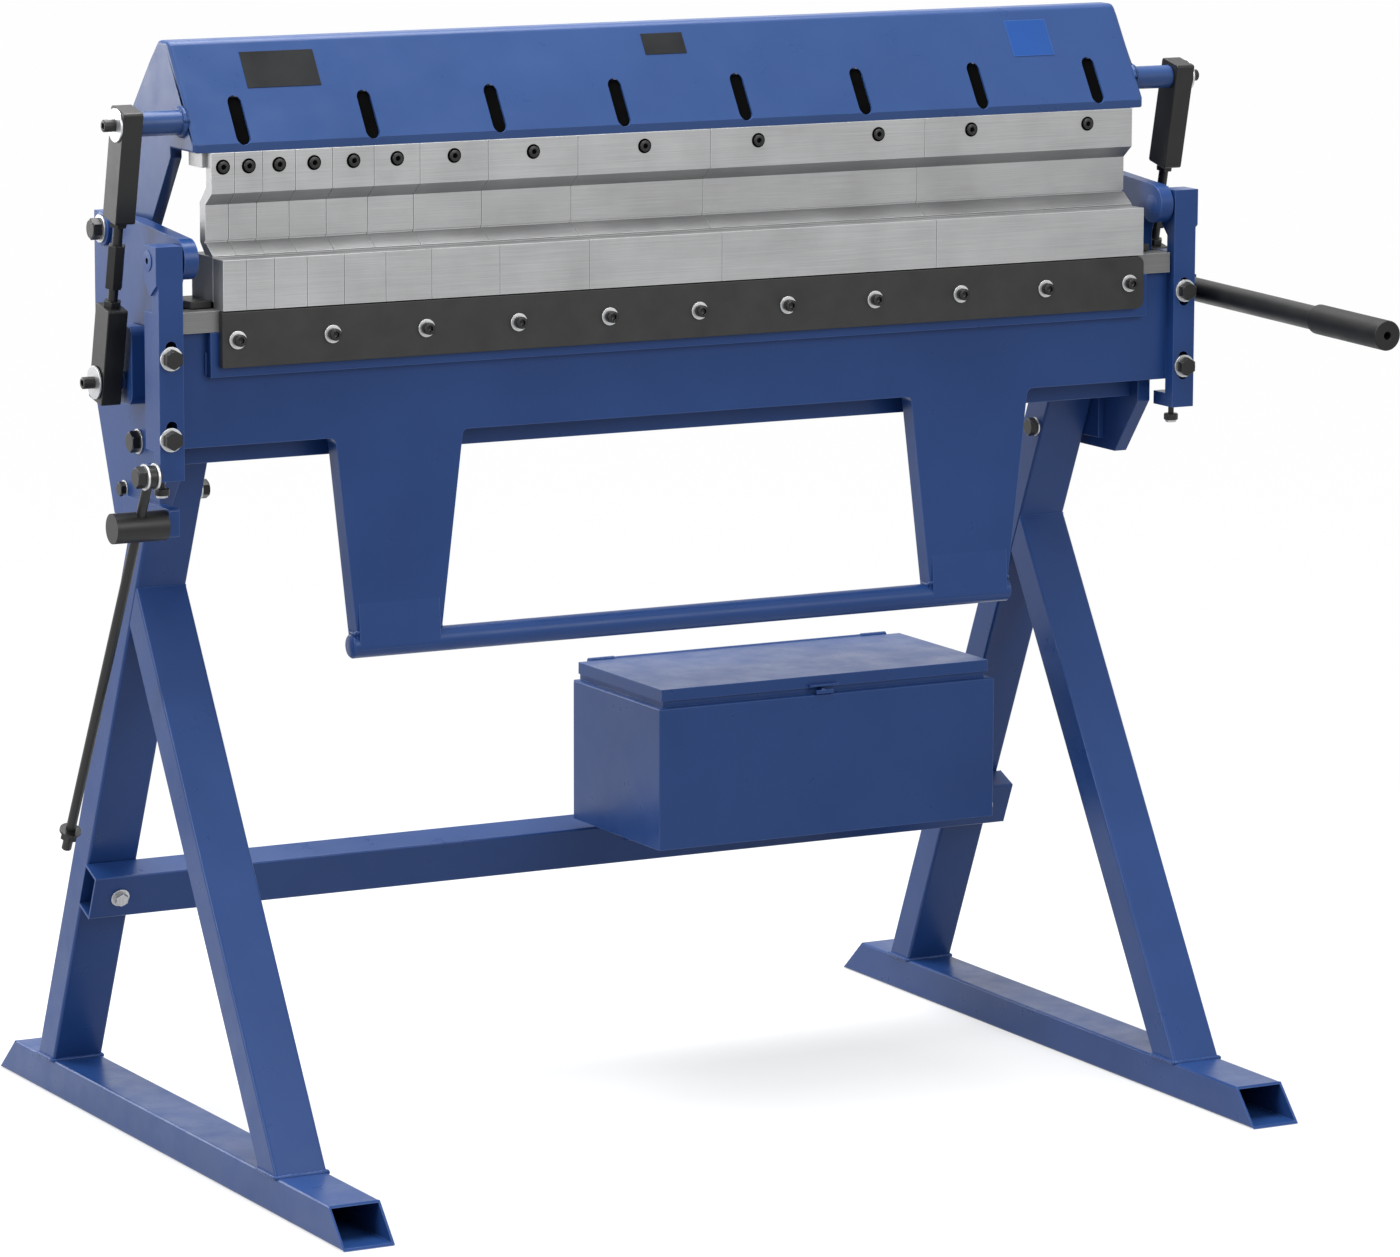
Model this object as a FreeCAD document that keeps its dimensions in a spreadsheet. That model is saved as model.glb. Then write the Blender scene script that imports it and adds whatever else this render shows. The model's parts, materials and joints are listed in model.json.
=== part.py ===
import FreeCAD, Part
import os
import re
import Sketcher

# Segment folding machine for sheet metal, 1050 mm working width, on its own welded stand.
# X runs to the right along the fold, Y to the rear and Z up.
# Every sketch measures Y from the front face of the folding blades and Z from the floor.
# The finished pieces are then moved so that the origin is on the floor, midway along the feet.

os.makedirs("parts", exist_ok=True)
doc = FreeCAD.newDocument("segment_folding_machine")
sheet = doc.addObject("Spreadsheet::Sheet", "sizes")

# Widths of the fingers and of the folding blades, from left to right
SEGMENT_WIDTHS = [25, 30, 35, 40, 45, 50, 75, 100, 150, 250, 250]

SIZES = {
    # Fold line and running clearances
    "bend_y": 23.3,
    "bend_z": 918,
    "segment_gap": 0.4,
    "seat_gap": 0.3,
    "fit": 0.05,
    # Feet, legs and crossbar of the stand
    "foot_front": -294.6,
    "foot_rear": 557.3,
    "foot_front_mitre": 34,
    "foot_rear_mitre": 43,
    "foot_height": 37.5,
    "tube_width": 55,
    "leg_packing": 6.6,
    "tube_wall": 2.5,
    "rear_leg_y": 411,
    "rear_lean": 23.4,
    "rear_leg_depth": 38,
    "rear_leg_top": 740,
    "front_leg_y": -143,
    "front_lean": 31.2,
    "front_leg_depth": 38,
    "crossbar_over": 3,
    "crossbar_z": 220,
    "crossbar_depth": 30,
    "crossbar_tall": 50,
    # Side plates
    "plate_clear": 23.6,
    "plate_thick": 15,
    "nose_radius": 20,
    "plate_front": 45,
    "plate_nose_z": 885,
    "plate_rear": 224,
    "plate_top": 947,
    "plate_slope_y": 130,
    "plate_low": 648,
    "plate_chamfer_y": 90,
    "plate_chamfer_z": 707,
    "plate_heel_y": 182,
    "plate_heel_z": 758,
    "spacer_y": 112,
    "spacer_z": 660,
    "spacer_wide": 46,
    "spacer_tall": 70,
    # Bed under the fold line
    "bed_beam_y": 60,
    "bed_beam_low": 711,
    "bed_beam_thick": 25,
    "bed_rail_y": 44,
    "bed_rail_tall": 12,
    "bed_rail_z": 862,
    "jaw_y": 24,
    "jaw_depth": 50,
    # Folding apron
    "apron_y": 18.5,
    "apron_thick": 20,
    "apron_low": 733,
    "apron_arm_outer_top": 397,
    "apron_arm_outer_low": 374,
    "apron_arm_inner_top": 257,
    "apron_arm_inner_low": 282.7,
    "apron_shoulder_z": 868,
    "apron_root": 8,
    "apron_corner": 6,
    "pull_bar_radius": 12.5,
    "pull_bar_y": 27.5,
    "pull_bar_z": 522.3,
    "pull_bar_over": 4.8,
    "rest_bar_y": 8.8,
    "rest_bar_depth": 24,
    "rest_bar_z": 846.5,
    "rest_bar_tall": 21,
    "blade_top_gap": 1,
    "clamp_bar_over": 1,
    "clamp_bar_thick": 8.5,
    "clamp_bar_low": 811.6,
    "clamp_bar_tall": 55,
    "clamp_bar_corner": 8,
    "pad_over": 10,
    "pad_low": 802,
    # Hinge arms beside the side plates
    "arm_gap": 2.1,
    "arm_width": 28.3,
    "arm_y": 4,
    "arm_depth": 14.5,
    "arm_foot_depth": 37,
    "arm_foot_tall": 14,
    "arm_low": 704,
    "arm_inset": 2.5,
    "arm_head_depth": 28,
    "arm_head_z": 898,
    "arm_above": 15,
    "arm_slot_radius": 6,
    "arm_slot_half": 9,
    "arm_slot_drop": 72,
    "arm_slot_pitch": 78,
    "hinge_pin_radius": 8,
    # Upper clamping beam
    "end_clear": 7.6,
    "shell_thick": 6,
    "shell_front": 29.2,
    "shell_low": 1018.8,
    "shell_lip": 8.2,
    "shell_tall": 104.1,
    "shell_top_depth": 25,
    "shell_rear_z": 1003,
    "shell_lean": 32.4,
    "shell_fall": 48.2,
    "bend_radius": 10,
    "slot_count": 8,
    "slot_inset": 42,
    "slot_width": 15,
    "slot_low": 1025,
    "slot_high": 1071,
    "end_thick": 12,
    "pivot_y": 197,
    "pivot_z": 931,
    "pivot_radius": 8,
    "pivot_lobe": 25,
    "pivot_head": 12,
    "pivot_head_thick": 10,
    "end_arm_y": 86,
    "end_arm_z": 1010,
    "end_heel_y": 150,
    "end_heel_z": 919,
    "finger_bar_y": 38,
    "finger_bar_depth": 32,
    "finger_bar_tall": 15,
    "finger_face": 25.4,
    "finger_shoulder": 979,
    "finger_recess": 41,
    "finger_recess_top": 966.9,
    "finger_recess_low": 932.2,
    "finger_groove": 2.5,
    "finger_nose_y": 39.9,
    "finger_nose_z": 930,
    "finger_tip_above": 0.6,
    "finger_back": 54,
    "finger_waist_z": 985,
    # Clamp shaft with its cranks and handle
    "shaft_radius": 12.5,
    "shaft_y": 108.3,
    "shaft_z": 820.3,
    "crank_gap": 2.4,
    "crank_thick": 17,
    "crank_front": 90,
    "crank_depth": 50,
    "crank_low": 768,
    "crank_tall": 77,
    "crank_corner": 10,
    "crank_pin_radius": 9,
    "link_low_y": 115,
    "link_low_z": 790,
    "lever_thick": 6.5,
    "lever_front": 76,
    "lever_depth": 60,
    "lever_corner": 12,
    "handle_radius": 12.5,
    "boss_side": 26,
    "boss_behind": 25.7,
    "boss_ahead": 26.3,
    "handle_ahead": 280.5,
    "handle_dip": 1.4,
    "grip_radius": 15.5,
    "grip_long": 126,
    "grip_hole": 4,
    "grip_hole_deep": 30,
    # Links between the beam and the cranks
    "link_clear": 6,
    "link_width": 21,
    "link_depth": 32,
    "link_lean": 12.5,
    "link_long": 263.2,
    "link_lower_below": 20,
    "link_lower_top": 78,
    "link_upper_low": 166,
    "link_upper_above": 16,
    "link_corner": 3,
    "link_rod_radius": 5,
    "link_nut_tall": 6,
    "link_nut_radius": 9,
    "coupling_low": 97,
    "coupling_tall": 44,
    "beam_pin_radius": 12,
    # Stop rod that limits the fold
    "stop_clear": 9,
    "stop_eye_y": 4,
    "stop_eye_z": 710.5,
    "stop_lean": 28.3,
    "stop_rod_radius": 5,
    "stop_long": 461.7,
    "stop_nut_past": 13.2,
    "stop_nut_tall": 8,
    "stop_nut_radius": 9,
    "stop_washer_radius": 11,
    "stop_washer_thick": 2.5,
    "eye_radius": 11,
    "eye_bore": 6.2,
    "eye_thick": 8,
    "trunnion_at": 60.3,
    "trunnion_radius": 15,
    "trunnion_long": 56,
    "trunnion_stud_radius": 6,
    "trunnion_stud_long": 17,
    "bracket_thick": 11.4,
    "bracket_front": 22,
    "bracket_rear": 133,
    "bracket_low": 646,
    "bracket_tall": 28,
    "bracket_corner": 3,
    # Tool box on the crossbar
    "box_left": 5,
    "box_wide": 401,
    "box_front": 95,
    "box_deep": 194,
    "box_tall": 166,
    "box_wall": 1.5,
    "box_rim_tall": 17,
    "box_rim_inset": 8,
    "lid_inset": 5,
    "lid_skirt": 11,
    "lid_wall": 1.5,
    "box_pin_radius": 2,
    "knuckle_set": 3.5,
    "knuckle_radius": 4,
    "lid_knuckle_radius": 3.2,
    "lid_short": 2,
    "knuckle_long": 30,
    "knuckle_inset": 20,
    "box_bracket_thick": 5,
    "box_bracket_reach": 170,
    "box_bracket_inset": 60,
    "box_bracket_toe": 10,
    "box_bracket_drop": 20,
}
for index, width in enumerate(SEGMENT_WIDTHS):
    SIZES[f"segment_{index + 1}_width"] = width

# Sizes that follow from the others, each after the ones that it needs
FOLLOWING = {
    "half_width": "(" + " + ".join(f"segment_{i + 1}_width" for i in range(len(SEGMENT_WIDTHS))) + ") / 2",
    "plate_inner": "half_width + plate_clear",
    "plate_outer": "plate_inner + plate_thick",
    "stand_outer": "plate_inner - leg_packing",
    "stand_inner": "stand_outer - tube_width",
    "crossbar_half": "stand_outer + crossbar_over",
    "end_outer": "plate_inner - end_clear",
    "shell_half": "end_outer - end_thick",
    "slot_reach": "shell_half - slot_inset",
    "clamp_bar_half": "half_width + clamp_bar_over",
    "pad_half": "half_width + pad_over",
    "pull_bar_half": "apron_arm_outer_low + pull_bar_over",
    "arm_inner": "plate_outer + arm_gap",
    "arm_outer": "arm_inner + arm_width",
    "arm_slot_upper": "arm_head_z - arm_slot_drop",
    "stop_nut_at": "stop_long - stop_nut_past",
    "arm_slot_lower": "arm_slot_upper - arm_slot_pitch",
    "shell_top": "shell_low + shell_tall",
    "crank_inner": "plate_outer + crank_gap",
    "crank_outer": "crank_inner + crank_thick",
    "link_inner": "crank_outer + link_clear",
    "link_outer": "link_inner + link_width",
    "lever_inner": "link_outer + 1",
    "stop_x": "arm_outer + stop_clear",
    "bracket_outer": "plate_outer + bracket_thick",
    "trunnion_end": "bracket_outer + trunnion_long",
    "trunnion_stud_end": "bracket_outer + trunnion_stud_long",
}

for row, (name, value) in enumerate(SIZES.items(), start=1):
    sheet.set(f"A{row}", name)
    sheet.set(f"B{row}", str(value))
    sheet.setAlias(f"B{row}", name)
doc.recompute()
for row, (name, formula) in enumerate(FOLLOWING.items(), start=len(SIZES) + 1):
    sheet.set(f"A{row}", name)
    sheet.set(f"B{row}", "=" + formula)
    sheet.setAlias(f"B{row}", name)
    doc.recompute()

NAMES = sorted([*SIZES, *FOLLOWING], key=len, reverse=True)
ALIASES = re.compile(r"\b(" + "|".join(NAMES) + r")\b")


def value(text):
    """The number that an expression over the sheet's aliases gives."""
    return float(sheet.evalExpression(text))


def bind(item, path, text):
    """Ties a property or a sketch dimension to the sheet."""
    item.setExpression(path, ALIASES.sub(r"sizes.\1", text))


# Places that several pieces share
HANDLE_X = "(lever_inner + lever_thick + boss_side / 2)"
REST_TOP = "(rest_bar_z + rest_bar_tall)"
JAW_LOW = "(bed_rail_z + bed_rail_tall)"
BOX_LOW = "(crossbar_z + crossbar_tall * cos(rear_lean))"
BOX_TOP = f"({BOX_LOW} + box_tall)"
BOX_REAR = "(box_front + box_deep)"
BOX_RIGHT = "(box_left + box_wide)"
LID_PIN_Y = f"({BOX_REAR} + knuckle_set)"
BASE = FreeCAD.Vector(0, -value("(foot_front + foot_rear) / 2"), 0)


def new_body(label):
    body = doc.addObject("PartDesign::Body", label)
    body.Label = label
    return body


def new_sketch(body, role, offset):
    """A sketch on one of the body's own origin planes, moved along the plane's normal."""
    sketch = body.newObject("Sketcher::SketchObject", body.Label + "_sketch")
    plane = next(item for item in body.Origin.OriginFeatures if item.Role == role)
    sketch.AttachmentSupport = [(plane, "")]
    sketch.MapMode = "FlatFace"
    bind(sketch, "AttachmentOffset.Base.z", offset)
    return sketch


def pin_point(sketch, geometry, place, corner):
    """Dimensions one point of the sketch from the sketch's origin."""
    for kind, text in zip(("DistanceX", "DistanceY"), corner):
        index = sketch.addConstraint(
            Sketcher.Constraint(kind, -1, 1, geometry, place, value(text))
        )
        bind(sketch, f"Constraints[{index}]", text)


def polygon(sketch, corners):
    points = [FreeCAD.Vector(value(x), value(y), 0) for x, y in corners]
    first = sketch.GeometryCount
    for index, point in enumerate(points):
        follower = points[(index + 1) % len(points)]
        sketch.addGeometry(Part.LineSegment(point, follower), False)
    for index, corner in enumerate(corners):
        follower = first + (index + 1) % len(points)
        sketch.addConstraint(Sketcher.Constraint("Coincident", first + index, 2, follower, 1))
        pin_point(sketch, first + index, 1, corner)


def box_corners(left, low, width, height):
    right = f"({left} + {width})"
    high = f"({low} + {height})"
    return [(left, low), (right, low), (right, high), (left, high)]


def circle(sketch, centre, radius):
    middle = FreeCAD.Vector(value(centre[0]), value(centre[1]), 0)
    round_line = Part.Circle(middle, FreeCAD.Vector(0, 0, 1), value(radius))
    index = sketch.addGeometry(round_line, False)
    pin_point(sketch, index, 3, centre)
    rule = sketch.addConstraint(Sketcher.Constraint("Radius", index, value(radius)))
    bind(sketch, f"Constraints[{rule}]", radius)


def upright_slot(sketch, across, low, high, radius):
    """A slot with round ends whose straight sides run along the sketch's second axis."""
    left = FreeCAD.Vector(value(across) - value(radius), 0, 0)
    right = FreeCAD.Vector(value(across) + value(radius), 0, 0)
    foot = FreeCAD.Vector(0, value(low), 0)
    head = FreeCAD.Vector(0, value(high), 0)
    centre = (left + right) / 2
    first = sketch.GeometryCount
    drop = FreeCAD.Vector(0, -value(radius), 0)
    sketch.addGeometry(Part.LineSegment(right + foot, right + head), False)
    sketch.addGeometry(Part.Arc(right + head, centre + head - drop, left + head), False)
    sketch.addGeometry(Part.LineSegment(left + head, left + foot), False)
    sketch.addGeometry(Part.Arc(left + foot, centre + foot + drop, right + foot), False)
    for index in range(4):
        follower = first + (index + 1) % 4
        sketch.addConstraint(Sketcher.Constraint("Coincident", first + index, 2, follower, 1))
    edge = f"({across} + {radius})"
    pin_point(sketch, first, 1, (edge, low))
    pin_point(sketch, first, 2, (edge, high))
    edge = f"({across} - {radius})"
    pin_point(sketch, first + 2, 1, (edge, high))
    pin_point(sketch, first + 2, 2, (edge, low))
    for arc, height in ((first + 1, high), (first + 3, low)):
        rule = sketch.addConstraint(Sketcher.Constraint("DistanceY", -1, 1, arc, 3, value(height)))
        bind(sketch, f"Constraints[{rule}]", height)


def pad(body, sketch, length, backwards=False):
    feature = body.newObject("PartDesign::Pad", body.Label + "_pad")
    feature.Profile = sketch
    feature.Reversed = backwards
    bind(feature, "Length", length)
    return feature


def pocket(body, sketch, length, backwards=False):
    """Cuts against the sketch's normal, or along it when backwards, and proves that it cut."""
    doc.recompute()
    before = body.Shape.Volume
    feature = body.newObject("PartDesign::Pocket", body.Label + "_pocket")
    feature.Profile = sketch
    feature.Reversed = backwards
    bind(feature, "Length", length)
    doc.recompute()
    if not body.Shape.Volume < before:
        raise RuntimeError(f"{body.Label}: a pocket removed nothing")
    return feature


def pocket_all(body, sketch):
    """Cuts through the whole body on both sides of the sketch."""
    doc.recompute()
    before = body.Shape.Volume
    feature = body.newObject("PartDesign::Pocket", body.Label + "_pocket")
    feature.Profile = sketch
    feature.Type = "ThroughAll"
    feature.Midplane = True
    doc.recompute()
    if not body.Shape.Volume < before:
        raise RuntimeError(f"{body.Label}: a pocket removed nothing")
    return feature


def near_edges(shape, axis, spots):
    """Names of the straight edges along an axis that pass through the given places."""
    others = [i for i in range(3) if i != axis]
    names = []
    for index, edge in enumerate(shape.Edges):
        ends = [v.Point for v in edge.Vertexes]
        if len(ends) != 2 or not isinstance(edge.Curve, Part.Line):
            continue
        if any(abs(ends[0][i] - ends[1][i]) > 0.01 for i in others):
            continue
        for spot in spots:
            if all(abs(ends[0][i] - spot[k]) < 0.05 for k, i in enumerate(others)):
                names.append(f"Edge{index + 1}")
                break
    return names


def fillet(body, axis, spots, radius):
    """Rounds the body's edges along an axis, at places given as pairs of expressions."""
    doc.recompute()
    tip = body.Tip
    places = [tuple(value(text) for text in spot) for spot in spots]
    names = near_edges(tip.Shape, axis, places)
    if len(names) < len(spots):
        raise RuntimeError(f"{body.Label}: {len(names)} edges found for {len(spots)} fillets")
    feature = body.newObject("PartDesign::Fillet", body.Label + "_fillet")
    feature.Base = (tip, names)
    bind(feature, "Radius", radius)
    return feature


def span(side, near, far):
    """Start and length of a pad along X that runs from near to far on one side of the centre."""
    length = f"({far} - {near})"
    return (near, length) if side > 0 else (f"-({far})", length)


def side_profile(label, corners, start, length):
    """A piece whose outline is drawn in the Y and Z plane and padded along X."""
    body = new_body(label)
    sketch = new_sketch(body, "YZ_Plane", start)
    polygon(sketch, corners)
    pad(body, sketch, length)
    return body


def front_profile(label, corners, start, length):
    """A piece whose outline is drawn in the X and Z plane and padded towards the rear."""
    body = new_body(label)
    sketch = new_sketch(body, "XZ_Plane", f"-({start})")
    polygon(sketch, corners)
    pad(body, sketch, length, backwards=True)
    return body


def side_bore(body, start, centre, radius, length):
    """A round hole along X."""
    sketch = new_sketch(body, "YZ_Plane", start)
    circle(sketch, centre, radius)
    return pocket(body, sketch, length, backwards=True)


def cylinder(label, radius, length, place):
    item = doc.addObject("Part::Cylinder", label)
    item.Label = label
    bind(item, "Radius", radius)
    bind(item, "Height", length)
    item.Placement = place
    return item


def hexagon(label, radius, length, place):
    item = doc.addObject("Part::Prism", label)
    item.Label = label
    item.Polygon = 6
    bind(item, "Circumradius", radius)
    bind(item, "Height", length)
    item.Placement = place
    return item


def fuse(label, pieces):
    item = doc.addObject("Part::MultiFuse", label)
    item.Label = label
    item.Shapes = pieces
    return item


def cut(label, base, tool):
    item = doc.addObject("Part::Cut", label)
    item.Label = label
    item.Base = base
    item.Tool = tool
    return item


def compound(label, pieces):
    item = doc.addObject("Part::Compound", label)
    item.Label = label
    item.Links = pieces
    return item


ALONG_X = FreeCAD.Rotation(FreeCAD.Vector(0, 1, 0), 90)
UPRIGHT = FreeCAD.Rotation()


def at(x, y, z, turn=UPRIGHT):
    return FreeCAD.Placement(FreeCAD.Vector(value(x), value(y), value(z)), turn)


def lean_forward(angle, turn=UPRIGHT):
    """A turn about X that tips the top of a piece towards the operator."""
    return FreeCAD.Rotation(FreeCAD.Vector(1, 0, 0), value(angle)).multiply(turn)


nodes = []


def keep(item):
    """Moves a finished piece from the fold line's datum to the row's origin and lists it."""
    item.Placement.Base = item.Placement.Base + BASE
    nodes.append(item)
    return item


SIDES = {"left": -1, "right": 1}


# Stand

def rear_leg_line(z, inset="0"):
    """Y of the rear leg's front face at a height, moved into the tube by an inset."""
    return f"(rear_leg_y - ({z} - foot_height) * tan(rear_lean) + ({inset}) / cos(rear_lean))"


def front_leg_line(z, inset="0"):
    return f"(front_leg_y + ({z} - foot_height) * tan(front_lean) + ({inset}) / cos(front_lean))"


def knee(inset):
    """Where a line of the front leg meets the rear leg's front face."""
    run = f"(rear_leg_y - front_leg_y - ({inset}) / cos(front_lean))"
    z = f"(foot_height + {run} / (tan(front_lean) + tan(rear_lean)))"
    return (rear_leg_line(z), z)


def rear_leg_outline(wall):
    low = "foot_height"
    far = f"rear_leg_depth - ({wall})"
    top = "rear_leg_top"
    return [
        (rear_leg_line(low, wall), low),
        (rear_leg_line(low, far), low),
        (rear_leg_line(top, far), top),
        (rear_leg_line(top, wall), top),
    ]


def front_leg_outline(wall):
    low = "foot_height"
    far = f"front_leg_depth - ({wall})"
    return [
        (front_leg_line(low, wall), low),
        (front_leg_line(low, far), low),
        knee(far),
        knee(wall),
    ]


def make_leg(label, side, outline):
    """A square-cut tube: the outer outline padded, then the bore taken out of it."""
    start, length = span(side, "stand_inner", "stand_outer")
    body = side_profile(label, outline("0"), start, length)
    sketch = new_sketch(body, "YZ_Plane", f"({start} + tube_wall)")
    polygon(sketch, outline("tube_wall"))
    pocket(body, sketch, "(tube_width - 2 * tube_wall)", backwards=True)
    return keep(body)


def make_foot(label, side):
    """A tube lying on the floor whose mitred ends stay open."""
    start, length = span(side, "stand_inner", "stand_outer")
    corners = [
        ("foot_front", "0"),
        ("foot_rear", "0"),
        ("(foot_rear - foot_rear_mitre)", "foot_height"),
        ("(foot_front + foot_front_mitre)", "foot_height"),
    ]
    body = side_profile(label, corners, start, length)
    sketch = new_sketch(body, "XZ_Plane", "0")
    bore = "(tube_width - 2 * tube_wall)"
    left = f"({start} + tube_wall)"
    polygon(sketch, box_corners(left, "tube_wall", bore, "(foot_height - 2 * tube_wall)"))
    pocket_all(body, sketch)
    return keep(body)


for name, side in SIDES.items():
    make_foot(f"{name}_foot", side)
    make_leg(f"{name}_rear_leg", side, rear_leg_outline)
    make_leg(f"{name}_front_leg", side, front_leg_outline)


def make_crossbar():
    """A tube across the fronts of the rear legs, with two gussets that carry the tool box."""
    corners = box_corners("-crossbar_depth", "0", "crossbar_depth", "crossbar_tall")
    length = "(2 * crossbar_half)"
    tube = side_profile("crossbar_tube", corners, "-crossbar_half", length)
    sketch = new_sketch(tube, "YZ_Plane", "-crossbar_half")
    wide = "(crossbar_depth - 2 * tube_wall)"
    tall = "(crossbar_tall - 2 * tube_wall)"
    polygon(sketch, box_corners("(tube_wall - crossbar_depth)", "tube_wall", wide, tall))
    pocket(tube, sketch, length, backwards=True)
    tube.Placement = at("0", rear_leg_line("crossbar_z"), "crossbar_z", lean_forward("rear_lean"))
    rear = f"({rear_leg_line('crossbar_z')} - crossbar_tall * sin(rear_lean))"
    ridge_y = f"({rear} - crossbar_depth * cos(rear_lean))"
    ridge_z = f"({BOX_LOW} - crossbar_depth * sin(rear_lean))"
    toe_y = f"({rear} - box_bracket_reach)"
    corners = [
        (toe_y, BOX_LOW),
        (toe_y, f"({BOX_LOW} - box_bracket_toe)"),
        (
            f"({ridge_y} + box_bracket_drop * sin(rear_lean))",
            f"({ridge_z} - box_bracket_drop * cos(rear_lean))",
        ),
        (ridge_y, ridge_z),
        (rear, BOX_LOW),
    ]
    pieces = [tube]
    for name, start in (
        ("left", "(box_left + box_bracket_inset)"),
        ("right", f"({BOX_RIGHT} - box_bracket_inset - box_bracket_thick)"),
    ):
        pieces.append(side_profile(f"{name}_box_bracket", corners, start, "box_bracket_thick"))
    return keep(fuse("crossbar", pieces))


make_crossbar()


# Side plates and bed

def make_side_plate(label, side):
    start, length = span(side, "plate_inner", "plate_outer")
    corners = [
        ("bend_y", "bend_z"),
        ("bend_y", "(bend_z + nose_radius)"),
        ("plate_slope_y", "plate_top"),
        ("plate_rear", "plate_top"),
        ("plate_rear", "plate_heel_z"),
        ("plate_heel_y", "plate_low"),
        ("plate_chamfer_y", "plate_low"),
        ("plate_front", "plate_chamfer_z"),
        ("plate_front", "plate_nose_z"),
        ("(bend_y + nose_radius * cos(45))", "(bend_z - nose_radius * sin(45))"),
    ]
    body = side_profile(label, corners, start, length)
    sketch = new_sketch(body, "YZ_Plane", start)
    circle(sketch, ("bend_y", "bend_z"), "nose_radius")
    pad(body, sketch, length)
    side_bore(body, start, ("bend_y", "bend_z"), "(hinge_pin_radius + fit)", length)
    side_bore(body, start, ("pivot_y", "pivot_z"), "(pivot_radius + fit)", length)
    side_bore(body, start, ("shaft_y", "shaft_z"), "(shaft_radius + fit)", length)
    return keep(body)


def make_leg_spacers():
    """Packing between the side plates and the tops of the rear legs."""
    pieces = []
    for name, side in SIDES.items():
        start, length = span(side, "stand_outer", "plate_inner")
        corners = box_corners("spacer_y", "spacer_z", "spacer_wide", "spacer_tall")
        pieces.append(side_profile(f"{name}_leg_spacer", corners, start, length))
    return keep(compound("leg_spacers", pieces))


for name, side in SIDES.items():
    make_side_plate(f"{name}_side_plate", side)
make_leg_spacers()

keep(side_profile(
    "bed_beam",
    box_corners("bed_beam_y", "bed_beam_low", "bed_beam_thick", "(bed_rail_z - bed_beam_low)"),
    "-plate_inner",
    "(2 * plate_inner)",
))
keep(side_profile(
    "bed_rail",
    box_corners("bed_rail_y", "bed_rail_z", "(bed_beam_y + bed_beam_thick - bed_rail_y)", "bed_rail_tall"),
    "-plate_inner",
    "(2 * plate_inner)",
))
keep(side_profile(
    "bed_jaw",
    box_corners("jaw_y", JAW_LOW, "jaw_depth", f"(bend_z - {JAW_LOW})"),
    "-half_width",
    "(2 * half_width)",
))


def make_hinge_pins():
    """The two pins that the hinge arms turn on, held in the noses of the side plates."""
    length = "(arm_outer - plate_inner)"
    pieces = []
    for name, side in SIDES.items():
        start, _ = span(side, "plate_inner", "arm_outer")
        place = at(start, "bend_y", "bend_z", ALONG_X)
        pieces.append(cylinder(f"{name}_hinge_pin", "hinge_pin_radius", length, place))
    return keep(compound("hinge_pins", pieces))


def make_pivot_bolts():
    """The two bolts that the clamping beam turns on, with their hexagon heads outside."""
    pieces = []
    length = "(plate_outer - shell_half)"
    for name, side in SIDES.items():
        start, _ = span(side, "shell_half", "plate_outer")
        shank = cylinder(
            f"{name}_pivot_shank", "pivot_radius", length, at(start, "pivot_y", "pivot_z", ALONG_X)
        )
        start, _ = span(side, "plate_outer", "(plate_outer + pivot_head_thick)")
        head = hexagon(
            f"{name}_pivot_head", "pivot_head", "pivot_head_thick", at(start, "pivot_y", "pivot_z", ALONG_X)
        )
        pieces.append(fuse(f"{name}_pivot_bolt", [shank, head]))
    return keep(compound("pivot_bolts", pieces))


make_hinge_pins()
make_pivot_bolts()


# Folding apron

def make_apron_plate():
    """One plate across the width, with shoulders behind the hinge arms and two arms down to the bar."""
    edge = "(arm_outer - arm_inset)"
    half = [
        ("plate_outer", "rest_bar_z"),
        ("plate_outer", "apron_shoulder_z"),
        (edge, "apron_shoulder_z"),
        (edge, "apron_low"),
        ("apron_arm_outer_top", "apron_low"),
        ("apron_arm_outer_low", "pull_bar_z"),
        ("apron_arm_inner_low", "pull_bar_z"),
        ("apron_arm_inner_top", "apron_low"),
    ]
    mirrored = [(f"(-{x})", z) for x, z in reversed(half)]
    body = new_body("apron_plate")
    sketch = new_sketch(body, "XZ_Plane", "-apron_y")
    polygon(sketch, half + mirrored)
    pad(body, sketch, "apron_thick", backwards=True)
    fillet(body, 1, [half[4], mirrored[3]], "apron_root")
    fillet(body, 1, [half[7], mirrored[0]], "apron_corner")
    side_bore(
        body,
        "-pull_bar_half",
        ("pull_bar_y", "pull_bar_z"),
        "(pull_bar_radius + fit)",
        "(2 * pull_bar_half)",
    )
    return keep(body)


def make_segments(label, corners):
    """One solid for each segment width, side by side with a hair's gap between them."""
    profile = doc.addObject("Sketcher::SketchObject", label + "_profile")
    profile.Placement = FreeCAD.Placement(
        FreeCAD.Vector(), FreeCAD.Rotation(FreeCAD.Vector(1, 1, 1), 120)
    )
    polygon(profile, corners)
    pieces = []
    left = "-half_width"
    for index in range(len(SEGMENT_WIDTHS)):
        width = f"segment_{index + 1}_width"
        piece = doc.addObject("Part::Extrusion", f"{label}_{index + 1}")
        piece.Base = profile
        piece.DirMode = "Custom"
        piece.Dir = FreeCAD.Vector(1, 0, 0)
        bind(piece, "LengthFwd", f"{width} - segment_gap")
        piece.Solid = True
        piece.Placement = at(f"{left} + segment_gap / 2", "0", "0")
        pieces.append(piece)
        left = f"{left} + {width}"
    return keep(compound(label, pieces))


make_apron_plate()
keep(side_profile(
    "blade_rest_bar",
    box_corners("rest_bar_y", "rest_bar_z", "rest_bar_depth", "rest_bar_tall"),
    "-plate_outer",
    "(2 * plate_outer)",
))
make_segments(
    "folding_blades",
    box_corners("0", REST_TOP, "bend_y", f"(bend_z - blade_top_gap - {REST_TOP})"),
)


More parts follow.
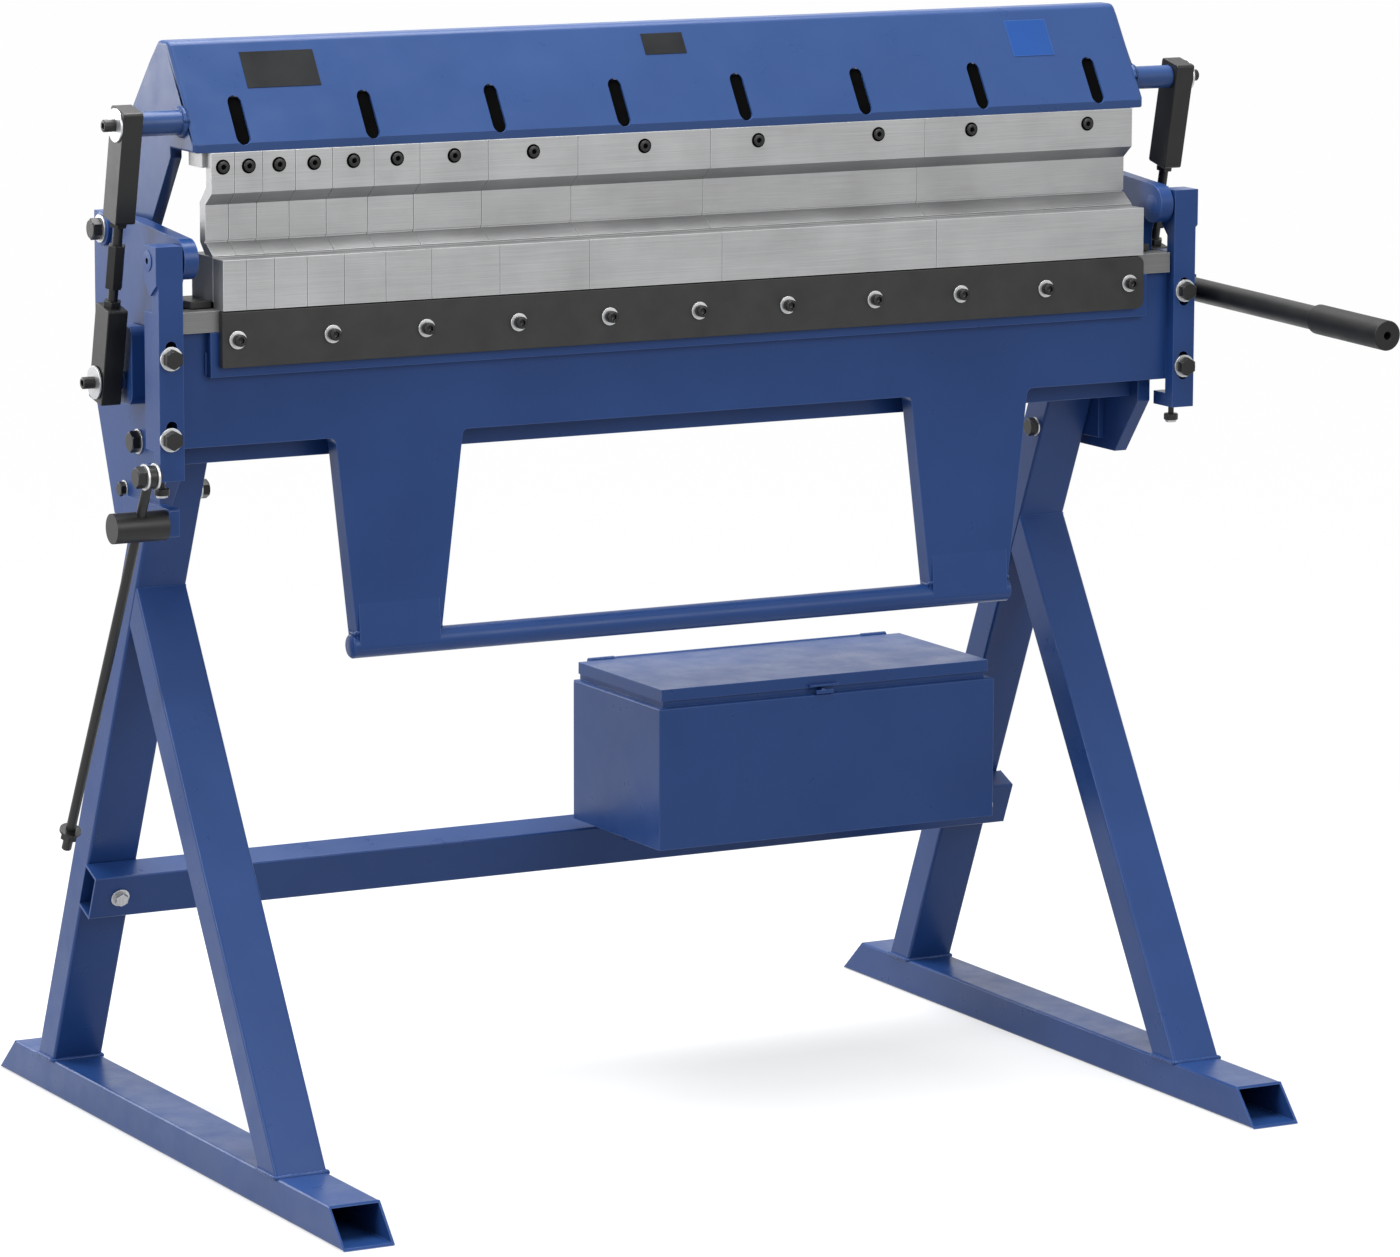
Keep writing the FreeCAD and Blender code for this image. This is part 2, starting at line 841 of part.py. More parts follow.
def make_blade_clamp_bar():
    body = front_profile(
        "blade_clamp_bar",
        box_corners("-clamp_bar_half", "clamp_bar_low", "(2 * clamp_bar_half)", "clamp_bar_tall"),
        "0",
        "clamp_bar_thick",
    )
    right = "clamp_bar_half"
    low = "clamp_bar_low"
    spots = [(right, low), (right, f"({low} + clamp_bar_tall)")]
    fillet(body, 1, spots, "clamp_bar_corner")
    return keep(body)


make_blade_clamp_bar()
keep(front_profile(
    "apron_pad",
    box_corners("-pad_half", "pad_low", "(2 * pad_half)", "(rest_bar_z - pad_low)"),
    "clamp_bar_thick",
    "(apron_y - clamp_bar_thick)",
))
keep(cylinder(
    "pull_bar",
    "pull_bar_radius",
    "(2 * pull_bar_half)",
    at("-pull_bar_half", "pull_bar_y", "pull_bar_z", ALONG_X),
))


def make_hinge_arm(label, side):
    """A flat bar on the front of the apron, with two bolt slots, a thicker head and a small foot."""
    outer = "(arm_outer - arm_inset)"
    start, length = span(side, "arm_inner", outer)
    corners = [
        ("arm_y", "arm_low"),
        ("(arm_y + arm_foot_depth)", "arm_low"),
        ("(arm_y + arm_foot_depth)", "(arm_low + arm_foot_tall)"),
        ("(arm_y + arm_depth)", "(arm_low + arm_foot_tall)"),
        ("(arm_y + arm_depth)", "arm_head_z"),
        ("arm_y", "arm_head_z"),
    ]
    body = side_profile(label, corners, start, length)
    middle = f"({start} + (arm_width - arm_inset) / 2)"
    for height in ("arm_slot_upper", "arm_slot_lower"):
        sketch = new_sketch(body, "XZ_Plane", "-arm_y")
        low = f"({height} - arm_slot_half)"
        high = f"({height} + arm_slot_half)"
        upright_slot(sketch, middle, low, high, "arm_slot_radius")
        pocket(body, sketch, "arm_depth")
    start, length = span(side, "arm_inner", "arm_outer")
    corners = [
        ("arm_y", "(arm_head_z - arm_inset)"),
        ("(arm_y + arm_depth)", "(arm_head_z - (arm_head_depth - arm_depth))"),
        ("(arm_y + arm_head_depth)", "arm_head_z"),
        ("(arm_y + arm_head_depth)", "(bend_z + arm_above)"),
        ("arm_y", "(bend_z + arm_above)"),
    ]
    sketch = new_sketch(body, "YZ_Plane", start)
    polygon(sketch, corners)
    pad(body, sketch, length)
    side_bore(body, start, ("bend_y", "bend_z"), "(hinge_pin_radius + fit)", length)
    return keep(body)


for name, side in SIDES.items():
    make_hinge_arm(f"{name}_hinge_arm", side)


# Clamping beam

LINK_HIGH = (
    "(link_low_y - link_long * sin(link_lean))",
    "(link_low_z + link_long * cos(link_lean))",
)
LIP_TOP = "(shell_low + shell_lip)"
SHELL_TOP_FRONT = f"(shell_front + (shell_top - {LIP_TOP}) * tan(shell_lean))"
SHELL_TOP_REAR = f"({SHELL_TOP_FRONT} + shell_top_depth)"
SHELL_REAR = f"({SHELL_TOP_REAR} + (shell_top - shell_rear_z) / tan(shell_fall))"
SHELL_OUTLINE = [
    ("shell_front", "shell_low"),
    ("shell_front", LIP_TOP),
    (SHELL_TOP_FRONT, "shell_top"),
    (SHELL_TOP_REAR, "shell_top"),
    (SHELL_REAR, "shell_rear_z"),
]
SHELL_INSIDE = [
    (f"({SHELL_REAR} - shell_thick / sin(shell_fall))", "shell_rear_z"),
    (f"({SHELL_TOP_REAR} - shell_thick * tan(shell_fall / 2))", "(shell_top - shell_thick)"),
    (f"({SHELL_TOP_FRONT} + shell_thick * tan(45 - shell_lean / 2))", "(shell_top - shell_thick)"),
    ("(shell_front + shell_thick)", f"({LIP_TOP} - shell_thick * tan(shell_lean / 2))"),
    ("(shell_front + shell_thick)", "shell_low"),
]


def make_beam_shell():
    """A bent plate, open below, with a row of upright slots in its sloping front."""
    length = "(2 * shell_half)"
    body = side_profile("beam_shell", SHELL_OUTLINE + SHELL_INSIDE, "-shell_half", length)
    fillet(body, 0, SHELL_OUTLINE[2:4], "bend_radius")
    fillet(body, 0, SHELL_INSIDE[1:3], "(bend_radius - shell_thick)")
    sketch = new_sketch(body, "XZ_Plane", "0")
    gaps = int(value("slot_count")) - 1
    for index in range(gaps + 1):
        across = f"(slot_reach * (2 * {index} / {gaps} - 1))"
        low = "(slot_low + slot_width / 2)"
        high = "(slot_high - slot_width / 2)"
        upright_slot(sketch, across, low, high, "(slot_width / 2)")
    pocket(body, sketch, SHELL_TOP_FRONT)
    return keep(body)


def make_beam_end(label, side):
    """The end of the beam, running down and back to the pivot bolt, with the link's pin."""
    start, length = span(side, "shell_half", "end_outer")
    corners = SHELL_OUTLINE + [
        ("(pivot_y + pivot_lobe)", "pivot_z"),
        ("pivot_y", "(pivot_z - pivot_lobe)"),
        ("end_heel_y", "end_heel_z"),
        ("end_arm_y", "end_arm_z"),
        ("end_arm_y", "shell_low"),
    ]
    body = side_profile(label, corners, start, length)
    sketch = new_sketch(body, "YZ_Plane", start)
    circle(sketch, ("pivot_y", "pivot_z"), "pivot_lobe")
    pad(body, sketch, length)
    side_bore(body, start, ("pivot_y", "pivot_z"), "(pivot_radius + fit)", length)
    fillet(body, 0, SHELL_OUTLINE[2:4], "bend_radius")
    start, length = span(side, "end_outer", "(link_inner - seat_gap)")
    sketch = new_sketch(body, "YZ_Plane", start)
    circle(sketch, LINK_HIGH, "beam_pin_radius")
    pad(body, sketch, length)
    return keep(body)


make_beam_shell()
for name, side in SIDES.items():
    make_beam_end(f"{name}_beam_end", side)

keep(side_profile(
    "finger_bar",
    box_corners("finger_bar_y", "(shell_low - finger_bar_tall)", "finger_bar_depth", "finger_bar_tall"),
    "-shell_half",
    "(2 * shell_half)",
))
TIP_Z = "(bend_z + finger_tip_above)"
make_segments(
    "clamp_fingers",
    [
        ("finger_face", "shell_low"),
        ("finger_face", "finger_shoulder"),
        ("finger_recess", "finger_recess_top"),
        ("finger_recess", "finger_recess_low"),
        ("(finger_recess + finger_groove)", "finger_recess_low"),
        ("(finger_recess + finger_groove)", "finger_nose_z"),
        ("finger_nose_y", "finger_nose_z"),
        ("bend_y", TIP_Z),
        ("(finger_nose_y + finger_groove)", TIP_Z),
        ("finger_back", "finger_nose_z"),
        ("finger_back", "(finger_waist_z - finger_back + finger_bar_y)"),
        ("finger_bar_y", "finger_waist_z"),
        ("finger_bar_y", "shell_low"),
    ],
)


# Clamp shaft, cranks and handle

keep(cylinder(
    "clamp_shaft",
    "shaft_radius",
    "(2 * crank_inner)",
    at("-crank_inner", "shaft_y", "shaft_z", ALONG_X),
))


def make_crank(label, side):
    """A thick plate on the shaft's end that carries the link's pin below the shaft."""
    start, length = span(side, "crank_inner", "crank_outer")
    corners = box_corners("crank_front", "crank_low", "crank_depth", "crank_tall")
    body = side_profile(label, corners, start, length)
    fillet(body, 0, corners, "crank_corner")
    start, length = span(side, "crank_outer", "lever_inner")
    sketch = new_sketch(body, "YZ_Plane", start)
    circle(sketch, ("link_low_y", "link_low_z"), "crank_pin_radius")
    pad(body, sketch, length)
    return keep(body)


for name, side in SIDES.items():
    make_crank(f"{name}_crank", side)


# The handle's own axis is Z, tipped forward until it dips a little below the level
HANDLE_TURN = lean_forward("90 + handle_dip")


def handle_place(ahead):
    """A place on the handle's axis, so far in front of the clamp shaft."""
    return at(
        HANDLE_X,
        f"(shaft_y - ({ahead}) * cos(handle_dip))",
        f"(shaft_z - ({ahead}) * sin(handle_dip))",
        HANDLE_TURN,
    )


def make_handle_lever():
    """The outer lever on the crank pin, with the square boss that holds the handle."""
    corners = box_corners("lever_front", "crank_low", "lever_depth", "crank_tall")
    plate = side_profile("lever_plate", corners, "lever_inner", "lever_thick")
    fillet(plate, 0, corners, "lever_corner")
    boss = new_body("handle_boss")
    sketch = new_sketch(boss, "XY_Plane", "-boss_behind")
    corner = "(-boss_side / 2)"
    polygon(sketch, box_corners(corner, corner, "boss_side", "boss_side"))
    pad(boss, sketch, "(boss_behind + boss_ahead)")
    boss.Placement = handle_place("0")
    return keep(fuse("handle_lever", [plate, boss]))


def make_grip():
    """A thicker sleeve on the end of the handle, with a blind hole in its end."""
    sleeve = cylinder("grip_sleeve", "grip_radius", "grip_long", handle_place("handle_ahead"))
    mouth = "(handle_ahead + grip_long - grip_hole_deep)"
    hole = cylinder("grip_hole", "grip_hole", "grip_hole_deep", handle_place(mouth))
    return keep(cut("handle_grip", sleeve, hole))


make_handle_lever()
keep(cylinder(
    "handle_tube",
    "handle_radius",
    "(handle_ahead - boss_ahead)",
    handle_place("boss_ahead"),
))
make_grip()


# Links

def link_block(label, side, low, high, bored):
    """A block of a link, drawn about the link's axis with its lower pin at the sketch origin."""
    start, length = span(side, "link_inner", "link_outer")
    corners = box_corners("(-link_depth / 2)", low, "link_depth", f"({high} - ({low}))")
    body = side_profile(label, corners, start, length)
    if bored:
        side_bore(body, start, ("0", "0"), "(crank_pin_radius + fit)", length)
    fillet(body, 0, corners, "link_corner")
    body.Placement = at("0", "link_low_y", "link_low_z", lean_forward("link_lean"))
    return keep(body)


def link_place(x, along):
    return at(
        x,
        f"(link_low_y - ({along}) * sin(link_lean))",
        f"(link_low_z + ({along}) * cos(link_lean))",
        lean_forward("link_lean"),
    )


def make_link_rod(label, side):
    """The threaded rod with its two lock nuts and the hexagon coupling."""
    x = f"({side} * (link_inner + link_width / 2))"
    length = "(link_upper_low - link_lower_top)"
    pieces = [cylinder(label + "_shank", "link_rod_radius", length, link_place(x, "link_lower_top"))]
    upper_nut = "(link_upper_low - link_nut_tall)"
    for word, along, tall in (
        ("lower_nut", "link_lower_top", "link_nut_tall"),
        ("coupling", "coupling_low", "coupling_tall"),
        ("upper_nut", upper_nut, "link_nut_tall"),
    ):
        pieces.append(hexagon(f"{label}_{word}", "link_nut_radius", tall, link_place(x, along)))
    return keep(fuse(label, pieces))


for name, side in SIDES.items():
    link_block(f"{name}_link_lower_block", side, "-link_lower_below", "link_lower_top", True)
    make_link_rod(f"{name}_link_rod", side)
    top = "(link_long + link_upper_above)"
    link_block(f"{name}_link_upper_block", side, "link_upper_low", top, False)


# Stop rod, trunnion and bracket on the left

def stop_place(x, along):
    """A place on the stop rod's axis, so far below its eye, with Z pointing up the rod."""
    return at(
        x,
        f"(stop_eye_y + ({along}) * sin(stop_lean))",
        f"(stop_eye_z - ({along}) * cos(stop_lean))",
        lean_forward("stop_lean"),
    )


TRUNNION_Y = "(stop_eye_y + trunnion_at * sin(stop_lean))"
TRUNNION_Z = "(stop_eye_z - trunnion_at * cos(stop_lean))"


def make_stop_bracket():
    """A flat bar on the left side plate, with the stud that the trunnion turns on."""
    start, length = span(-1, "plate_outer", "bracket_outer")
    corners = box_corners(
        "bracket_front", "bracket_low", "(bracket_rear - bracket_front)", "bracket_tall"
    )
    body = side_profile("stop_bracket", corners, start, length)
    fillet(body, 0, [corners[0], corners[3]], "bracket_corner")
    start, length = span(-1, "bracket_outer", "trunnion_stud_end")
    sketch = new_sketch(body, "YZ_Plane", start)
    circle(sketch, (TRUNNION_Y, TRUNNION_Z), "trunnion_stud_radius")
    pad(body, sketch, length)
    return keep(body)


def make_trunnion():
    inner = "(bracket_outer + seat_gap)"
    start, length = span(-1, inner, "trunnion_end")
    round_bar = cylinder(
        "trunnion_bar", "trunnion_radius", length, at(start, TRUNNION_Y, TRUNNION_Z, ALONG_X)
    )
    start, length = span(-1, inner, "(trunnion_stud_end + seat_gap)")
    stud_hole = cylinder(
        "trunnion_stud_hole",
        "(trunnion_stud_radius + fit)",
        length,
        at(start, TRUNNION_Y, TRUNNION_Z, ALONG_X),
    )
    rod_hole = cylinder(
        "trunnion_rod_hole",
        "(stop_rod_radius + fit)",
        "(4 * trunnion_radius)",
        stop_place("-stop_x", "(trunnion_at + 2 * trunnion_radius)"),
    )
    return keep(cut("stop_trunnion", round_bar, fuse("trunnion_holes", [stud_hole, rod_hole])))


def make_stop_rod():
    """A rod with an eye at the apron's end and a washer and nut at its lower end."""
    rod = cylinder(
        "stop_rod_shank",
        "stop_rod_radius",
        "(stop_long - eye_radius + 1)",
        stop_place("-stop_x", "stop_long"),
    )
    nut = hexagon(
        "stop_rod_nut",
        "stop_nut_radius",
        "stop_nut_tall",
        stop_place("-stop_x", "stop_nut_at"),
    )
    washer = cylinder(
        "stop_rod_washer",
        "stop_washer_radius",
        "stop_washer_thick",
        stop_place("-stop_x", "(stop_nut_at - stop_nut_tall)"),
    )
    outer = "(-stop_x - eye_thick / 2)"
    ring = cylinder(
        "stop_rod_ring", "eye_radius", "eye_thick", at(outer, "stop_eye_y", "stop_eye_z", ALONG_X)
    )
    bore = cylinder(
        "stop_rod_bore", "eye_bore", "eye_thick", at(outer, "stop_eye_y", "stop_eye_z", ALONG_X)
    )
    return keep(cut("stop_rod", fuse("stop_rod_solid", [rod, nut, washer, ring]), bore))


make_stop_bracket()
make_trunnion()
make_stop_rod()


# Tool box

def make_tool_box():
    """A sheet box with a narrower open rim, two hinge knuckles and the pin along its rear edge."""
    body = new_body("tool_box_shell")
    sketch = new_sketch(body, "XY_Plane", BOX_LOW)
    polygon(sketch, box_corners("box_left", "box_front", "box_wide", "box_deep"))
    pad(body, sketch, "(box_tall - box_rim_tall)")
    sketch = new_sketch(body, "XY_Plane", f"({BOX_TOP} - box_rim_tall)")
    rim = box_corners(
        "(box_left + box_rim_inset)",
        "(box_front + box_rim_inset)",
        "(box_wide - 2 * box_rim_inset)",
        "(box_deep - box_rim_inset)",
    )
    polygon(sketch, rim)
    pad(body, sketch, "box_rim_tall")
    sketch = new_sketch(body, "XY_Plane", f"({BOX_LOW} + box_wall)")
    inner = box_corners(
        "(box_left + box_wall)",
        "(box_front + box_wall)",
        "(box_wide - 2 * box_wall)",
        "(box_deep - 2 * box_wall)",
    )
    polygon(sketch, inner)
    pocket(body, sketch, "(box_tall - box_rim_tall - 2 * box_wall)", backwards=True)
    sketch = new_sketch(body, "XY_Plane", f"({BOX_TOP} - box_rim_tall - box_wall)")
    mouth = box_corners(
        "(box_left + box_rim_inset + box_wall)",
        "(box_front + box_rim_inset + box_wall)",
        "(box_wide - 2 * box_rim_inset - 2 * box_wall)",
        "(box_deep - box_rim_inset - 2 * box_wall)",
    )
    polygon(sketch, mouth)
    pocket(body, sketch, "(box_rim_tall + box_wall)", backwards=True)
    pieces = [body]
    for name, start in (
        ("left", "(box_left + knuckle_inset)"),
        ("right", f"({BOX_RIGHT} - knuckle_inset - knuckle_long)"),
    ):
        place = at(start, LID_PIN_Y, BOX_TOP, ALONG_X)
        pieces.append(cylinder(f"box_{name}_knuckle", "knuckle_radius", "knuckle_long", place))
    place = at("(box_left + knuckle_inset)", LID_PIN_Y, BOX_TOP, ALONG_X)
    length = "(box_wide - 2 * knuckle_inset)"
    pieces.append(cylinder("box_hinge_pin", "box_pin_radius", length, place))
    return keep(fuse("tool_box", pieces))


def make_tool_box_lid():
    """A lid with a skirt at the front and sides, and the long middle knuckle of its hinge."""
    body = new_body("tool_box_lid_sheet")
    top = f"({BOX_TOP} + seat_gap + lid_wall)"
    sketch = new_sketch(body, "XY_Plane", f"({top} - lid_skirt - lid_wall)")
    left = "(box_left + lid_inset)"
    front = "(box_front + lid_inset)"
    wide = "(box_wide - 2 * lid_inset)"
    polygon(sketch, box_corners(left, front, wide, "(box_deep - lid_inset - lid_short)"))
    pad(body, sketch, "(lid_skirt + lid_wall)")
    sketch = new_sketch(body, "XY_Plane", f"({top} - lid_skirt - lid_wall)")
    left = "(box_left + lid_inset + lid_wall)"
    front = "(box_front + lid_inset + lid_wall)"
    wide = "(box_wide - 2 * lid_inset - 2 * lid_wall)"
    polygon(sketch, box_corners(left, front, wide, "box_deep"))
    pocket(body, sketch, "lid_skirt", backwards=True)
    start = "(box_left + knuckle_inset + knuckle_long + seat_gap)"
    length = "(box_wide - 2 * (knuckle_inset + knuckle_long + seat_gap))"
    place = at(start, LID_PIN_Y, BOX_TOP, ALONG_X)
    knuckle = cylinder("lid_knuckle", "lid_knuckle_radius", length, place)
    leaf = doc.addObject("Part::Box", "lid_leaf")
    bind(leaf, "Length", length)
    bind(leaf, "Width", f"({LID_PIN_Y} - box_front - 2 * lid_inset)")
    bind(leaf, "Height", "lid_wall")
    leaf.Placement = at(start, "(box_front + 2 * lid_inset)", f"({BOX_TOP} + seat_gap)")
    bore = cylinder("lid_bore", "(box_pin_radius + fit)", length, place)
    return keep(cut("tool_box_lid", fuse("lid_solid", [body, knuckle, leaf]), bore))


make_tool_box()
make_tool_box_lid()

doc.recompute()
for item in doc.Objects:
    if "Invalid" in item.State or "Error" in item.State:
        raise RuntimeError(f"{item.Label} failed: {item.State}")
for item in nodes:
    if item.Shape.isNull() or not item.Shape.isValid() or not item.Shape.Solids:
        raise RuntimeError(f"{item.Label} has no valid solid")
for item in nodes:
    item.Shape.exportStep(f"parts/{item.Label}.step")
print(len(nodes), "pieces")
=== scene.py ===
import bmesh
import bpy
import json
import math
from mathutils import Matrix, Vector


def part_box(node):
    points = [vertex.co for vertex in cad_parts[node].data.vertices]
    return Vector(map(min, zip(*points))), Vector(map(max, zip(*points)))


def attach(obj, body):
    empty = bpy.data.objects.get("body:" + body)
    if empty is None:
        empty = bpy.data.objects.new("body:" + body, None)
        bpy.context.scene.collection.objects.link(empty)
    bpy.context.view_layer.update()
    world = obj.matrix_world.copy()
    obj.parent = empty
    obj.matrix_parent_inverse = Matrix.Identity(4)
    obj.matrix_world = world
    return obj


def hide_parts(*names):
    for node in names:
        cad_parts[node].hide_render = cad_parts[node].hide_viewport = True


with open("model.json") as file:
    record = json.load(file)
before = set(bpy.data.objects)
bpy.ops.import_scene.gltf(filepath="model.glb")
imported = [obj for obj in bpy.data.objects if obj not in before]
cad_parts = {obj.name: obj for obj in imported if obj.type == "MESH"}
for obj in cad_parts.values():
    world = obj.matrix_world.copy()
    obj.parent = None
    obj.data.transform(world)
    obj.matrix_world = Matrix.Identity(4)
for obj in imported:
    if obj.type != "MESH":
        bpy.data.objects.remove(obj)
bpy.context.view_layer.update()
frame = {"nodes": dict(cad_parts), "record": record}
scene = bpy.context.scene
BODY_OF = {
    node: body
    for body, members in frame["record"]["behaviour"]["bodies"].items()
    for node in members
}

TO_FRONT = Vector((0, -1, 0))
UP = Vector((0, 0, 1))
SIDES = ("left", "right")
SIGN = {"left": -1, "right": 1}
OUT = {"left": Vector((-1, 0, 0)), "right": Vector((1, 0, 0))}

# Lines across the machine, as Y and Z in millimetres
HINGE = (-108.05, 918)
REAR_PIVOT = (65.65, 931)
LINK_PIN = (-73.32, 1046.96)
CRANK_PIN = (-16.35, 790)
CLAMP_SHAFT = (-23.05, 820.3)
PULL_BAR = (-103.85, 522.3)
STOP_EYE = (-127.35, 710.5)

# Distances from the machine's middle to its sides, in millimetres
ROW_HALF = 525
NOSE_FACE = 548.6
PLATE_FACE = 563.6
BEAM_SLOT_REACH = 487

# Angles of the mesh work
FLAT_ANGLE = math.radians(0.6)
CORNER_ANGLE = math.radians(28)
SHARP_ANGLE = math.radians(46)


def mm(x, y, z):
    """A point given in millimetres, in the part's frame."""
    return Vector((x, y, z)) / 1000


# Camera at the photograph's place and angle

YAW, PITCH, ROLL = math.radians(28.36), math.radians(9.78), math.radians(0.15)
CAMERA_PLACE = (-3.1648, -5.99575, 1.6629)
LENS, SENSOR_WIDTH, FAR_CLIP = 171.365, 36, 200

ahead = Vector((
    math.sin(YAW) * math.cos(PITCH),
    math.cos(YAW) * math.cos(PITCH),
    -math.sin(PITCH),
))
level_right = Vector((math.cos(YAW), -math.sin(YAW), 0))
level_up = level_right.cross(ahead)
camera_right = math.cos(ROLL) * level_right + math.sin(ROLL) * level_up
camera_up = math.cos(ROLL) * level_up - math.sin(ROLL) * level_right
camera_data = bpy.data.cameras.new("camera")
camera_data.lens = LENS
camera_data.sensor_width = SENSOR_WIDTH
camera_data.clip_end = FAR_CLIP
camera = bpy.data.objects.new("camera", camera_data)
scene.collection.objects.link(camera)
camera_turn = Matrix((camera_right, camera_up, -ahead)).transposed().to_4x4()
camera.matrix_world = Matrix.Translation(CAMERA_PLACE) @ camera_turn
scene.camera = camera


# Materials

BLACK, WHITE = (0.0, 0.0, 0.0), (1.0, 1.0, 1.0)
MIX_FACTOR, MIX_FIRST, MIX_SECOND, MIX_RESULT = 0, 6, 7, 2


def new_material(name):
    material = bpy.data.materials.new(name)
    material.use_nodes = True
    tree = material.node_tree
    return material, tree, tree.nodes["Principled BSDF"]


def feed(tree, node, inputs):
    """Gives inputs, by name or number, a value, a colour or the output of another node."""
    for key, content in inputs.items():
        socket = node.inputs[key]
        if isinstance(content, bpy.types.NodeSocket):
            tree.links.new(content, socket)
        elif socket.type == "RGBA":
            socket.default_value = (*content, 1)
        else:
            socket.default_value = content


def add_node(tree, kind, inputs=None, **properties):
    """A node with its properties and inputs."""
    node = tree.nodes.new(kind)
    for key, content in properties.items():
        setattr(node, key, content)
    feed(tree, node, inputs or {})
    return node


def object_place(tree, stretch=(1, 1, 1)):
    """Object coordinates, stretched."""
    place = add_node(tree, "ShaderNodeTexCoord").outputs["Object"]
    return add_node(tree, "ShaderNodeMapping", {"Scale": stretch, "Vector": place}).outputs["Vector"]


def noise(tree, place, scale, detail=3.0, rough=0.5):
    sizes = {"Scale": scale, "Detail": detail, "Roughness": rough, "Vector": place}
    return add_node(tree, "ShaderNodeTexNoise", sizes).outputs["Fac"]


def ramp(tree, source, stops):
    """A colour or grey that follows a factor through the given stops."""
    node = add_node(tree, "ShaderNodeValToRGB", {"Fac": source})
    elements = node.color_ramp.elements
    while len(elements) < len(stops):
        elements.new(0.5)
    for element, (position, colour) in zip(elements, stops):
        element.position = position
        if isinstance(colour, float):
            colour = (colour, colour, colour)
        element.color = (*colour, 1)
    return node.outputs["Color"]


def bump(tree, height, strength, distance, below=None):
    """Fine relief that follows a height, over another normal where one is given."""
    sizes = {"Strength": strength, "Distance": distance, "Height": height}
    if below is not None:
        sizes["Normal"] = below
    return add_node(tree, "ShaderNodeBump", sizes).outputs["Normal"]


def mixed(tree, factor, first, second, blend="MIX"):
    """Mixes two colour outputs, or fixed colours, by a factor."""
    inputs = {MIX_FACTOR: factor, MIX_FIRST: first, MIX_SECOND: second}
    node = add_node(tree, "ShaderNodeMix", inputs, data_type="RGBA", blend_type=blend)
    return node.outputs[MIX_RESULT]


def with_edge_highlight(tree, colour, edge_colour, share, radius, low=0.86):
    """Another, paler colour along the edges: a painted highlight where light catches their rounding."""
    soft = add_node(tree, "ShaderNodeBevel", {"Radius": radius}, samples=4)
    hard = add_node(tree, "ShaderNodeNewGeometry")
    normals = {0: soft.outputs["Normal"], 1: hard.outputs["Normal"]}
    product = add_node(tree, "ShaderNodeVectorMath", normals, operation="DOT_PRODUCT")
    mask = ramp(tree, product.outputs["Value"], [(low, 1.0), (0.995, 0.0)])
    return mixed(tree, mixed(tree, share, BLACK, mask), colour, edge_colour)


def make_blue_paint(name, deep, light, highlight_share=0.45):
    """Sprayed machine paint: faint clouds, orange peel, and slightly paler edges that are a painted
    highlight.
    """
    material, tree, shader = new_material(name)
    place = object_place(tree)
    colour = ramp(tree, noise(tree, place, scale=7.0, detail=4.0), [(0.3, deep), (0.7, light)])
    # Paler blue along the edges: a painted highlight.
    if highlight_share:
        colour = with_edge_highlight(tree, colour, (0.11, 0.18, 0.42), highlight_share, radius=0.0014, low=0.88)
    stains = noise(tree, place, scale=26.0, detail=5.0, rough=0.6)
    waves = bump(tree, noise(tree, place, scale=60.0, detail=2.0), strength=0.16, distance=0.0006)
    pores = noise(tree, place, scale=900.0, detail=2.0)
    feed(tree, shader, {
        "Base Color": colour,
        "Roughness": ramp(tree, stains, [(0.3, 0.26), (0.7, 0.4)]),
        "Specular IOR Level": 0.24,
        "Normal": bump(tree, pores, strength=0.22, distance=0.00012, below=waves),
    })
    return material


def make_steel(name, dark, pale, grain, rough, metallic=0.85):
    """Ground steel: fine lines along one axis, with drifting stains and brighter edges that are a
    painted highlight.
    """
    material, tree, shader = new_material(name)
    lines = noise(tree, object_place(tree, grain), scale=1.0, detail=4.0, rough=0.62)
    stains = noise(tree, object_place(tree), scale=9.0, detail=5.0, rough=0.6)
    colour = ramp(tree, lines, [(0.25, dark), (0.75, pale)])
    colour = mixed(tree, 1.0, colour, ramp(tree, stains, [(0.3, 0.8), (0.7, 1.0)]), "MULTIPLY")
    feed(tree, shader, {
        "Base Color": with_edge_highlight(tree, colour, (0.8, 0.81, 0.82), 0.5, radius=0.0011),
        "Roughness": ramp(tree, stains, [(0.25, rough - 0.07), (0.75, rough + 0.1)]),
        "Metallic": metallic,
        "Normal": bump(tree, lines, strength=0.2, distance=0.0001),
    })
    return material


def make_black(name, base, edge, rough, speckle=420.0, shine=0.4):
    """Blackened steel, black enamel, or a flat black that is painted shade, with a soft sheen and grey
    edges that are a painted highlight.
    """
    material, tree, shader = new_material(name)
    place = object_place(tree)
    clouds = noise(tree, place, scale=30.0, detail=4.0, rough=0.6)
    darker, paler = (tuple(part * share for part in base) for share in (0.8, 1.25))
    colour = ramp(tree, clouds, [(0.3, darker), (0.7, paler)])
    feed(tree, shader, {
        "Base Color": with_edge_highlight(tree, colour, edge, 0.6, radius=0.0008),
        "Roughness": ramp(tree, clouds, [(0.3, rough - 0.06), (0.7, rough + 0.08)]),
        "Specular IOR Level": shine,
        "Normal": bump(tree, noise(tree, place, scale=speckle), strength=0.25, distance=0.00015),
    })
    return material


